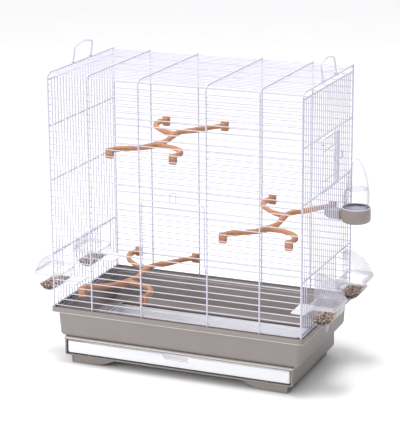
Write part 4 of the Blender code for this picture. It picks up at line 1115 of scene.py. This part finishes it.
for label, x, number in PERCHES:
    front_z = FRONT_FIRST_Z + WIRE_PITCH * number
    back_z = BACK_FIRST_Z + WIRE_PITCH * number
    stick = copy_of(branch, (x, 0, (front_z + back_z) / 2 + PERCH_ABOVE_WIRE))
    name = f"perch_{label}_branch"
    finish_piece(f"{name}_bark", (stick,), bark, "cage", (name,))
    for corner, (across, along) in (
        ("front_left", MAIN_SHARES[0]), ("back_right", MAIN_SHARES[-1]),
        ("back_left", BACK_TWIG_SHARES[-1]), ("front_right", FRONT_TWIG_SHARES[-1]),
    ):
        end = math.copysign(1, along)
        wire_z = back_z if along > 0 else front_z
        clip = copy_of(cap, (x + across * PERCH_SPREAD, 0, wire_z), (1, end, 1))
        name = f"perch_{label}_cap_{corner}"
        finish_piece(f"{name}_block", (clip,), bark, "cage", (name,))
bpy.data.objects.remove(branch)
bpy.data.objects.remove(cap)


# Feeders
# Four clear trays of moulded polystyrene with a round bottom and a flange, each under a clear
# hood with a rim. Two hooks hold each one to the wire under its opening. A white landing lip
# lies inside the cage. They are filled with mixed seed.
FEEDER_Y = 0.0915833
FEEDER_IN = 0.28205
BOWL_REACH = 0.02975
BOWL_HALF_Y = 0.0375
BOWL_TOP = 0.18351
BOWL_DEPTH = 0.0357
BOWL_END_ROUND = 0.004
RIM_LOW = 0.18381
RIM_HEIGHT = 0.0038
RIM_OUT = 0.003
CLEAR_WALL = 0.0018
CLEAR_EDGE = 0.0003
PALE_RIM_BANDS = (0.18375, 0.19255)
MILKY_COVERS = (0.1926, 0.2394)
HOOD_LOW = 0.18791
HOOD_TOP = 0.23951
HOOD_DEPTH = 0.0595
HOOD_HALF_Y = 0.039
HOOD_ROUNDNESS = 1.15
HOOD_STEPS = 16
HOOD_END_ROUND = 0.005
HOOD_RIM = 0.0045
HOOD_RIM_OUT = 0.0015
HOOK_PLACES = (-0.0196, 0.0196)
HOOK_HALF = 0.002
HOOK_HOLE = 0.0014
HOOK_OUTER = 0.0032
SEED_LEVEL = 0.1615
SEED_HEAP = 0.005
SEED_LENGTH = 0.0019
SEED_COUNT = 1500
SEED_SHAPE_SHARES = (0.52, 1.0, 0.42)
SEED_SIZE_SHARES = (0.7, 1.15)
SEED_TILT = 0.6
DARK_SEEDS_BELOW = 0.157
DARK_POWER = 1.9
MIXED_POWER = 0.75
HEAP_SHARES = ((0.25, 0.8), (0.35, 0.7), (0.3, 0.6), (0.1, 0.4))
SILL_IN = 0.24475
SILL_OUT = 0.27625
SILL_HALF = 0.032
SILL_LOW = 0.16691
SILL_TOP = 0.16891
SILL_TONGUE_HALF = 0.015
BOWL_X = FEEDER_IN + BOWL_REACH

clear, nodes = new_finish("clear_polystyrene", roughness=0.05, ior=1.5)
edge = nodes.node("ShaderNodeLayerWeight", None, {"Blend": 0.5}, "Facing")
scuffs = nodes.noise(140.0, 4.0, 0.65)
# The rims of the tray and the hood are painted paler and more opaque than the walls.
rims = nodes.band(*PALE_RIM_BANDS)
covers = nodes.band(*MILKY_COVERS)
haze = nodes.blend(scuffs, srgb(206, 204, 220), srgb(226, 225, 237))
paled_at_rims = nodes.blend(rims, haze, srgb(238, 237, 243))
# Where the clear walls are seen at a glancing angle their colour turns dark grey: painted shade for the dark
# lines along a clear shell's edges.
feed(
    clear,
    base_color=nodes.blend(edge ** 3, paled_at_rims, srgb(118, 116, 132)),
    alpha=0.01 + edge ** 2 * 0.5 + scuffs * 0.03 + rims * 0.28 + covers * 0.05,
    normal=nodes.bump(nodes.noise(90.0, 1.0), 0.0003, 0.5),
)

seed_mix, nodes = new_finish("seed_mix", specular_ior_level=0.35)
kind = nodes.node("ShaderNodeAttribute", {"attribute_name": "seed_kind"}, output="Fac")
# The ramp's first stop is near black: the darkest seeds, and also painted shade on the bed under the seeds,
# which has no seed kind.
husk = nodes.node(
    "ShaderNodeValToRGB",
    {
        "stops": (
            (0.0, srgb(20, 16, 17)), (0.28, srgb(52, 36, 32)), (0.32, srgb(166, 114, 80)),
            (0.5, srgb(214, 168, 128)), (0.54, srgb(250, 236, 214)), (0.76, srgb(220, 196, 184)),
            (0.8, srgb(104, 72, 58)), (1.0, srgb(236, 208, 182)),
        )
    },
    {"Fac": kind},
)
speck = nodes.noise(1600.0, 2.0)
feed(
    seed_mix,
    base_color=nodes.blend(speck ** 2 * 0.4, husk, srgb(70, 54, 46)),
    roughness=0.5 + speck * 0.2,
    normal=nodes.bump(speck, 0.0001),
)


def at_end(middle, half_y):
    """Whether a place is on one of the two end walls of a tray or a hood."""
    return abs(abs(middle.y + FEEDER_Y) - half_y) < CLEAR_EDGE


def half_round(reach, half_y, depth, top, end_round):
    """The lower half of an oval drum with rounded ends, open at the top, left in edit mode."""
    bpy.ops.object.select_all(action="DESELECT")
    bpy.ops.mesh.primitive_cylinder_add(
        vertices=56, radius=1, depth=2, location=(BOWL_X, -FEEDER_Y, top), rotation=(math.pi / 2, 0, 0),
    )
    bpy.context.object.scale = (reach, depth, half_y)
    drum = keep_place()
    bpy.ops.object.mode_set(mode="EDIT")
    bpy.ops.mesh.select_all(action="SELECT")
    bpy.ops.mesh.bisect(plane_co=(0, 0, top), plane_no=(0, 0, 1), clear_outer=True)
    under = top - CLEAR_EDGE / 10
    pick("EDGE", lambda middle, part: at_end(middle, half_y) and middle.z < under)
    bpy.ops.mesh.bevel(offset=end_round, segments=4)
    return drum


bowl = half_round(BOWL_REACH, BOWL_HALF_Y, BOWL_DEPTH, BOWL_TOP, BOWL_END_ROUND)
pick("EDGE", lambda middle, part: len(part.link_faces) == 1)
bpy.ops.mesh.extrude_edges_move(TRANSFORM_OT_translate={"value": (0, 0, RIM_LOW - BOWL_TOP)})
bpy.ops.mesh.extrude_edges_move(TRANSFORM_OT_translate={"value": (0, 0, 0)})
rim_grow = (1 + RIM_OUT / (2 * BOWL_REACH), 1 + RIM_OUT / BOWL_HALF_Y, 1)
bpy.ops.transform.resize(value=rim_grow, center_override=(FEEDER_IN, -FEEDER_Y, RIM_LOW))
bpy.ops.mesh.extrude_edges_move(TRANSFORM_OT_translate={"value": (0, 0, RIM_HEIGHT)})
bpy.ops.mesh.select_all(action="SELECT")
bpy.ops.mesh.normals_make_consistent(inside=False)
bpy.ops.object.mode_set(mode="OBJECT")
thicken(bowl, CLEAR_WALL)
soften(bowl, CLEAR_EDGE)
bowl_parts = [bowl]
for shift in HOOK_PLACES:
    y = -FEEDER_Y + shift - HOOK_HALF
    hook_middle = (STUB_X, y, SILL_Z)
    ring = arc(hook_middle, HOOK_OUTER, 150, -150, "y", 12) + arc(hook_middle, HOOK_HOLE, -140, 140, "y", 12)
    bowl_parts.append(plate(ring, (0, 2 * HOOK_HALF, 0)))
    arm = block(
        STUB_X + HOOK_HOLE * 1.2, FEEDER_IN + CLEAR_WALL * 2, y, y + 2 * HOOK_HALF,
        SILL_Z - HOOK_HOLE, SILL_Z + HOOK_HOLE,
    )
    bpy.ops.object.mode_set(mode="OBJECT")
    bowl_parts.append(arm)
bowl = joined(*bowl_parts)

profile = [(FEEDER_IN, HOOD_LOW)]
for step in range(HOOD_STEPS + 1):
    turn = math.pi / 2 * (1 - step / HOOD_STEPS)
    profile.append((
        FEEDER_IN + HOOD_DEPTH * max(math.cos(turn), 0) ** HOOD_ROUNDNESS,
        HOOD_LOW + (HOOD_TOP - HOOD_LOW) * math.sin(turn) ** HOOD_ROUNDNESS,
    ))
hood = plate([(x, -FEEDER_Y - HOOD_HALF_Y, z) for x, z in profile], (0, 2 * HOOD_HALF_Y, 0))
bpy.ops.object.mode_set(mode="EDIT")
pick("FACE", lambda middle, face: middle.x < FEEDER_IN + CLEAR_EDGE or middle.z < HOOD_LOW + CLEAR_EDGE)
bpy.ops.mesh.delete(type="FACE")
pick("EDGE", lambda middle, part: at_end(middle, HOOD_HALF_Y) and len(part.link_faces) == 2)
bpy.ops.mesh.bevel(offset=HOOD_END_ROUND, segments=5)
bpy.ops.mesh.select_all(action="SELECT")
bpy.ops.mesh.bisect(plane_co=(0, 0, HOOD_LOW + HOOD_RIM), plane_no=(0, 0, 1))
bpy.ops.mesh.select_all(action="SELECT")
bpy.ops.mesh.normals_make_consistent(inside=False)
pick("FACE", lambda middle, face: middle.z < HOOD_LOW + HOOD_RIM)
bpy.ops.mesh.extrude_region_shrink_fatten(TRANSFORM_OT_shrink_fatten={"value": HOOD_RIM_OUT})
bpy.ops.object.mode_set(mode="OBJECT")
thicken(hood, CLEAR_WALL)
soften(hood, CLEAR_EDGE)

room = CLEAR_WALL + SEED_LENGTH / 2
bed = half_round(BOWL_REACH - room, BOWL_HALF_Y - room, BOWL_DEPTH - room, BOWL_TOP, BOWL_END_ROUND)
bpy.ops.mesh.select_all(action="SELECT")
bpy.ops.mesh.bisect(plane_co=(0, 0, SEED_LEVEL), plane_no=(0, 0, 1), clear_outer=True, use_fill=True)
pick("FACE", lambda middle, face: middle.z > SEED_LEVEL - CLEAR_EDGE)
heap_middle = (BOWL_X - SEED_HEAP / 2, -FEEDER_Y, 0)
for share, narrow in HEAP_SHARES:
    bpy.ops.mesh.extrude_region_move(TRANSFORM_OT_translate={"value": (0, 0, SEED_HEAP * share)})
    bpy.ops.transform.resize(value=(narrow, narrow, 1), center_override=heap_middle)
bpy.ops.mesh.select_all(action="SELECT")
bpy.ops.mesh.normals_make_consistent(inside=False)
bpy.ops.object.mode_set(mode="OBJECT")

bpy.ops.object.select_all(action="DESELECT")
bpy.ops.mesh.primitive_ico_sphere_add(subdivisions=1, radius=1)
seed = keep_place()
bpy.ops.object.mode_set(mode="EDIT")
bpy.ops.mesh.select_all(action="SELECT")
bpy.ops.transform.resize(value=SEED_SHAPE_SHARES)
bpy.ops.object.mode_set(mode="OBJECT")


def slices_of(bed):
    """The bed's faces cut into triangles and sorted by place, as a bevel's faces have no fixed order."""
    slices = []
    for face in bed.data.polygons:
        corners = [bed.data.vertices[index].co for index in face.vertices]
        first = min(range(len(corners)), key=lambda index: corners[index].to_tuple(6))
        ring = corners[first:] + corners[:first]
        slices += [(ring[0], second, third) for second, third in zip(ring[1:], ring[2:])]
    return sorted(slices, key=lambda ring: [corner.to_tuple(6) for corner in ring])


def scatter(bed, seed, count, chance):
    """Copies of one seed laid over a bed, each turned at random and given its kind."""
    heap = bmesh.new()
    kinds = heap.verts.layers.float.new("seed_kind")
    slices = slices_of(bed)
    facings = [(second - first).cross(third - first) for first, second, third in slices]
    picked = chance.choices(range(len(slices)), weights=[facing.length for facing in facings], k=count)
    for index in picked:
        a, b = sorted((chance.random(), chance.random()))
        corners = slices[index]
        place = corners[0] * a + corners[1] * (b - a) + corners[2] * (1 - b)
        stand = facings[index].to_track_quat("Z", "Y").to_matrix().to_4x4()
        spin = Matrix.Rotation(chance.uniform(0, math.tau), 4, "Z")
        tilt = Matrix.Rotation(chance.uniform(-SEED_TILT, SEED_TILT), 4, "X")
        size = SEED_LENGTH * chance.uniform(*SEED_SIZE_SHARES)
        before = len(heap.verts)
        heap.from_mesh(seed.data)
        heap.verts.ensure_lookup_table()
        kind = chance.random() ** (DARK_POWER if place.z < DARK_SEEDS_BELOW else MIXED_POWER)
        for point in heap.verts[before:]:
            point[kinds] = kind
        where = Matrix.Translation(place) @ stand @ spin @ tilt @ Matrix.Scale(size, 4)
        bmesh.ops.transform(heap, matrix=where, verts=heap.verts[before:])
    mesh = bpy.data.meshes.new("seeds")
    heap.to_mesh(mesh)
    heap.free()
    seeds = bpy.data.objects.new("seeds", mesh)
    bpy.context.scene.collection.objects.link(seeds)
    return seeds


# The bed joins the seeds without a seed kind, so it takes the ramp's near black: painted shade in the gaps
# between the seeds.
seeds = joined(scatter(bed, seed, SEED_COUNT, random.Random(5)), bed)
bpy.data.objects.remove(seed)

sill = block(SILL_IN, SILL_OUT, -FEEDER_Y - SILL_HALF, -FEEDER_Y + SILL_HALF, SILL_LOW, SILL_TOP)
pick("EDGE", lambda middle, part: abs(middle.z - (SILL_LOW + SILL_TOP) / 2) < CLEAR_EDGE)
bpy.ops.mesh.bevel(offset=BOWL_END_ROUND, segments=5)
bpy.ops.object.mode_set(mode="OBJECT")
tongue = block(
    SILL_OUT - 2 * CLEAR_WALL, STUB_X, -FEEDER_Y - SILL_TONGUE_HALF, -FEEDER_Y + SILL_TONGUE_HALF,
    SILL_LOW + CLEAR_EDGE, SILL_TOP - CLEAR_EDGE,
)
bpy.ops.object.mode_set(mode="OBJECT")
sill = soften(joined(sill, tongue), EDGE_ROUND)

for end_name, end in (("front", 0), ("back", 2 * FEEDER_Y)):
    for side_name, side in (("left", -1), ("right", 1)):
        name = f"feeder_{end_name}_{side_name}"
        place = ((0, end, 0), (side, 1, 1))
        tray = copy_of(bowl, *place)
        finish_piece(f"{name}_tray", (tray,), clear, name, (f"{name}_bowl",))
        cover = copy_of(hood, *place)
        finish_piece(f"{name}_cover", (cover,), clear, name, (f"{name}_hood",))
        heap = copy_of(seeds, *place)
        finish_piece(f"{name}_seeds", (heap,), seed_mix, name)
        lip = copy_of(sill, *place)
        finish_piece(f"{name}_lip", (lip,), white_plastic, "cage", (f"{name}_sill",))
for spare in (bowl, hood, seeds, sill):
    bpy.data.objects.remove(spare)


# Drinker
# A round cup of darker taupe plastic hung outside the right panel, with a trough that reaches in
# between the wires. A clear bottle of water stands mouth down in it and lifts straight out.
CUP_X = 0.31305
CUP_RADIUS = 0.031
CUP_LOW = 0.31151
CUP_TOP = 0.34421
CUP_WALL = 0.002
CUP_ROUND = 0.007
TROUGH_HALF = 0.01075
TROUGH_LOW = 0.31611
TROUGH_TOP = 0.33551
TROUGH_TIP = 0.244
TROUGH_NOSE = 0.006
BOTTLE_RADIUS = 0.0285
BOTTLE_RINGS = (
    (0.31381, 0.62, 0.62), (0.32081, 0.62, 0.62), (0.32431, 0.91, 0.91), (0.34421, 0.91, 0.91),
    (0.3510, 0.97, 0.97), (0.35996, 1.0, 1.0), (0.37571, 0.985, 0.99), (0.38800, 0.94, 0.955),
    (0.39986, 0.87, 0.90), (0.41200, 0.77, 0.82), (0.42191, 0.66, 0.72), (0.43200, 0.51, 0.59),
    (0.43871, 0.40, 0.48), (0.44500, 0.25, 0.35), (0.44921, 0.12, 0.24),
)
FLAT_FROM = 0.38
FLAT_BACK_SHARE = 0.56
FLAT_SPREAD_SHARE = 1.3
BOTTLE_WALL = 0.0015
WATER_GAP = 1.4 * BOTTLE_WALL
WATER_LEVEL = 0.3845
LEVEL_BAND = 0.0009
CUP_WATER_LOW = 0.3200
CUP_WATER_TOP = 0.3405
TROUGH_WATER_LOW = 0.3235
TROUGH_WATER_TOP = 0.3335
# The top edge of the cup is painted near white: a painted highlight along its rim.
RIM_HIGHLIGHT_BAND = (0.3428, 0.3444)

cup_plastic, nodes = new_finish("cup_plastic", specular_ior_level=0.45)
grain = nodes.noise(1900.0, 2.0, 0.7)
flow = nodes.noise(30.0, 2.0)
# Painted highlight band round the cup's rim.
rim = nodes.band(*RIM_HIGHLIGHT_BAND)
body = nodes.blend(flow, srgb(150, 139, 135), srgb(160, 150, 145))
feed(
    cup_plastic,
    base_color=nodes.blend(rim * 0.85, body, srgb(232, 229, 234)),
    roughness=0.36 + grain * 0.14,
    normal=nodes.bump(grain, 0.00006, 0.7),
)

def round_block(radius, low, top):
    """A solid round block about the cup's axis, left open in edit mode."""
    middle = (CUP_X, FEEDER_Y, (low + top) / 2)
    bpy.ops.object.select_all(action="DESELECT")
    bpy.ops.mesh.primitive_cylinder_add(vertices=64, radius=radius, depth=top - low, location=middle)
    shape = keep_place()
    bpy.ops.object.mode_set(mode="EDIT")
    return shape


def trough_shape(outline, half_y):
    """An outline seen from the front, drawn out across the trough with its faces outwards."""
    shape = plate([(x, FEEDER_Y - half_y, z) for x, z in outline], (0, 2 * half_y, 0))
    bpy.ops.object.mode_set(mode="EDIT")
    bpy.ops.mesh.select_all(action="SELECT")
    bpy.ops.mesh.normals_make_consistent(inside=False)
    bpy.ops.object.mode_set(mode="OBJECT")
    return shape


cup = round_block(CUP_RADIUS, CUP_LOW, CUP_TOP)
pick("FACE", lambda middle, face: face.normal.z < -0.5)
bpy.ops.mesh.bevel(offset=CUP_ROUND, segments=6)
pick("FACE", lambda middle, face: face.normal.z > 0.5)
bpy.ops.mesh.inset(thickness=CUP_WALL)
bpy.ops.mesh.extrude_region_move(TRANSFORM_OT_translate={"value": (0, 0, CUP_LOW + CUP_ROUND - CUP_TOP)})
bpy.ops.mesh.extrude_region_move(TRANSFORM_OT_translate={"value": (0, 0, CUP_WALL - CUP_ROUND)})
narrow = 1 - CUP_ROUND / CUP_RADIUS
bpy.ops.transform.resize(value=(narrow, narrow, 1), center_override=(CUP_X, FEEDER_Y, CUP_LOW))
bpy.ops.object.mode_set(mode="OBJECT")
soften(cup, EDGE_ROUND, 2, math.radians(50))
trough_back = CUP_X - CUP_RADIUS + 1.5 * CUP_WALL
nose_foot = TROUGH_TIP + 2 * TROUGH_NOSE
nose_front = TROUGH_TIP + TROUGH_NOSE / 2
hollow_back = FEEDER_IN - CUP_WALL
hollow_floor = TROUGH_LOW + CUP_WALL
trough = trough_shape(
    (
        (trough_back, TROUGH_LOW), (nose_foot, TROUGH_LOW), (nose_front, TROUGH_LOW + TROUGH_NOSE),
        (TROUGH_TIP, TROUGH_TOP), (trough_back, TROUGH_TOP),
    ),
    TROUGH_HALF,
)
hollow = trough_shape(
    (
        (hollow_back, hollow_floor), (nose_foot, hollow_floor),
        (nose_front + CUP_WALL, TROUGH_LOW + TROUGH_NOSE + CUP_WALL / 2),
        (TROUGH_TIP + CUP_WALL, CUP_TOP), (hollow_back, CUP_TOP),
    ),
    TROUGH_HALF - CUP_WALL,
)
carve(trough, hollow)
soften(trough, EDGE_ROUND * 2)
finish_piece("drinker_cup_moulding", (cup, trough), cup_plastic, "cage", ("drinker_cup",))


def bottle_skin(shrink):
    """The bottle drawn up ring by ring from its mouth, then pressed flat at its back."""
    low, _, across = BOTTLE_RINGS[0]
    radius = BOTTLE_RADIUS * across - shrink
    mouth = (CUP_X, FEEDER_Y, low + shrink)
    bpy.ops.object.select_all(action="DESELECT")
    bpy.ops.mesh.primitive_circle_add(vertices=48, radius=radius, location=mouth, fill_type="NGON")
    skin = keep_place()
    bpy.ops.object.mode_set(mode="EDIT")
    bpy.ops.mesh.select_all(action="SELECT")
    was = (radius, radius, low + shrink)
    for z, front, across in BOTTLE_RINGS[1:]:
        level = z - shrink if z > WATER_LEVEL else z
        now = (BOTTLE_RADIUS * front - shrink, BOTTLE_RADIUS * across - shrink, level)
        bpy.ops.mesh.extrude_region_move(TRANSFORM_OT_translate={"value": (0, 0, now[2] - was[2])})
        grow = (now[0] / was[0], now[1] / was[1], 1)
        bpy.ops.transform.resize(value=grow, center_override=(CUP_X, FEEDER_Y, now[2]))
        was = now
    for z, front, across in BOTTLE_RINGS:
        if z > FLAT_FROM:
            back = CUP_X - (BOTTLE_RADIUS - shrink) * FLAT_BACK_SHARE * min(1, across * FLAT_SPREAD_SHARE)
            pick("VERT", lambda middle, part: abs(middle.z - z) < 2 * BOTTLE_WALL and middle.x < back)
            bpy.ops.transform.resize(value=(0, 1, 1), center_override=(back, FEEDER_Y, z))
    return skin


bottle = bottle_skin(0)
pick("FACE", lambda middle, face: len(face.verts) > 4 and middle.z < CUP_TOP)
bpy.ops.mesh.delete(type="FACE")
bpy.ops.mesh.select_all(action="SELECT")
bpy.ops.mesh.normals_make_consistent(inside=False)
bpy.ops.object.mode_set(mode="OBJECT")
thicken(bottle, BOTTLE_WALL)
soften(bottle, EDGE_ROUND)
finish_piece("drinker_bottle_shell", (bottle,), clear, "drinker_bottle", ("drinker_bottle",))

water, nodes = new_finish("water", roughness=0.02, ior=1.333)
edge = nodes.node("ShaderNodeLayerWeight", None, {"Blend": 0.5}, "Facing")
depth = nodes.noise(20.0, 1.0)
surface = nodes.band(WATER_LEVEL - LEVEL_BAND, WATER_LEVEL + LEVEL_BAND)
feed(
    water,
    base_color=nodes.blend(depth, srgb(150, 152, 172), srgb(180, 182, 200)),
    alpha=0.02 + edge ** 2 * 0.3 + surface * 0.3,
)
fill = bottle_skin(WATER_GAP)
bpy.ops.mesh.select_all(action="SELECT")
bpy.ops.mesh.bisect(plane_co=(0, 0, WATER_LEVEL), plane_no=(0, 0, 1), clear_outer=True, use_fill=True)
bpy.ops.object.mode_set(mode="OBJECT")
finish_piece("drinker_water", (fill,), water, "drinker_bottle")

# Water in the cup, drawn as an opaque sheet just under the rim: the water is real, but its grey violet colour
# is painted shade of the deep cup.
water_with_painted_shade, nodes = new_finish("water_with_painted_shade", roughness=0.04, ior=1.333)
ripple = nodes.noise(60.0, 2.0)
feed(
    water_with_painted_shade,
    base_color=nodes.blend(ripple, srgb(150, 148, 170), srgb(176, 174, 194)),
    normal=nodes.bump(ripple, 0.0006, 0.4),
)
pool = round_block(CUP_RADIUS - CUP_WALL - CLEAR_EDGE, CUP_WATER_LOW, CUP_WATER_TOP)
pick("FACE", lambda middle, face: face.normal.z > 0.5)
bpy.ops.mesh.inset(thickness=CUP_WALL)
bpy.ops.mesh.extrude_region_move(TRANSFORM_OT_translate={"value": (0, 0, -CLEAR_EDGE)})
bpy.ops.object.mode_set(mode="OBJECT")
shallow_half = TROUGH_HALF - CUP_WALL - CLEAR_EDGE
shallow = block(
    TROUGH_TIP + TROUGH_NOSE, hollow_back - CLEAR_EDGE, FEEDER_Y - shallow_half, FEEDER_Y + shallow_half,
    TROUGH_WATER_LOW, TROUGH_WATER_TOP,
)
pick("EDGE", lambda middle, part: middle.z < TROUGH_WATER_LOW + CLEAR_EDGE)
bpy.ops.mesh.bevel(offset=CUP_WALL, segments=2)
bpy.ops.object.mode_set(mode="OBJECT")
finish_piece("drinker_cup_water", (pool, shallow), water_with_painted_shade, "cage")
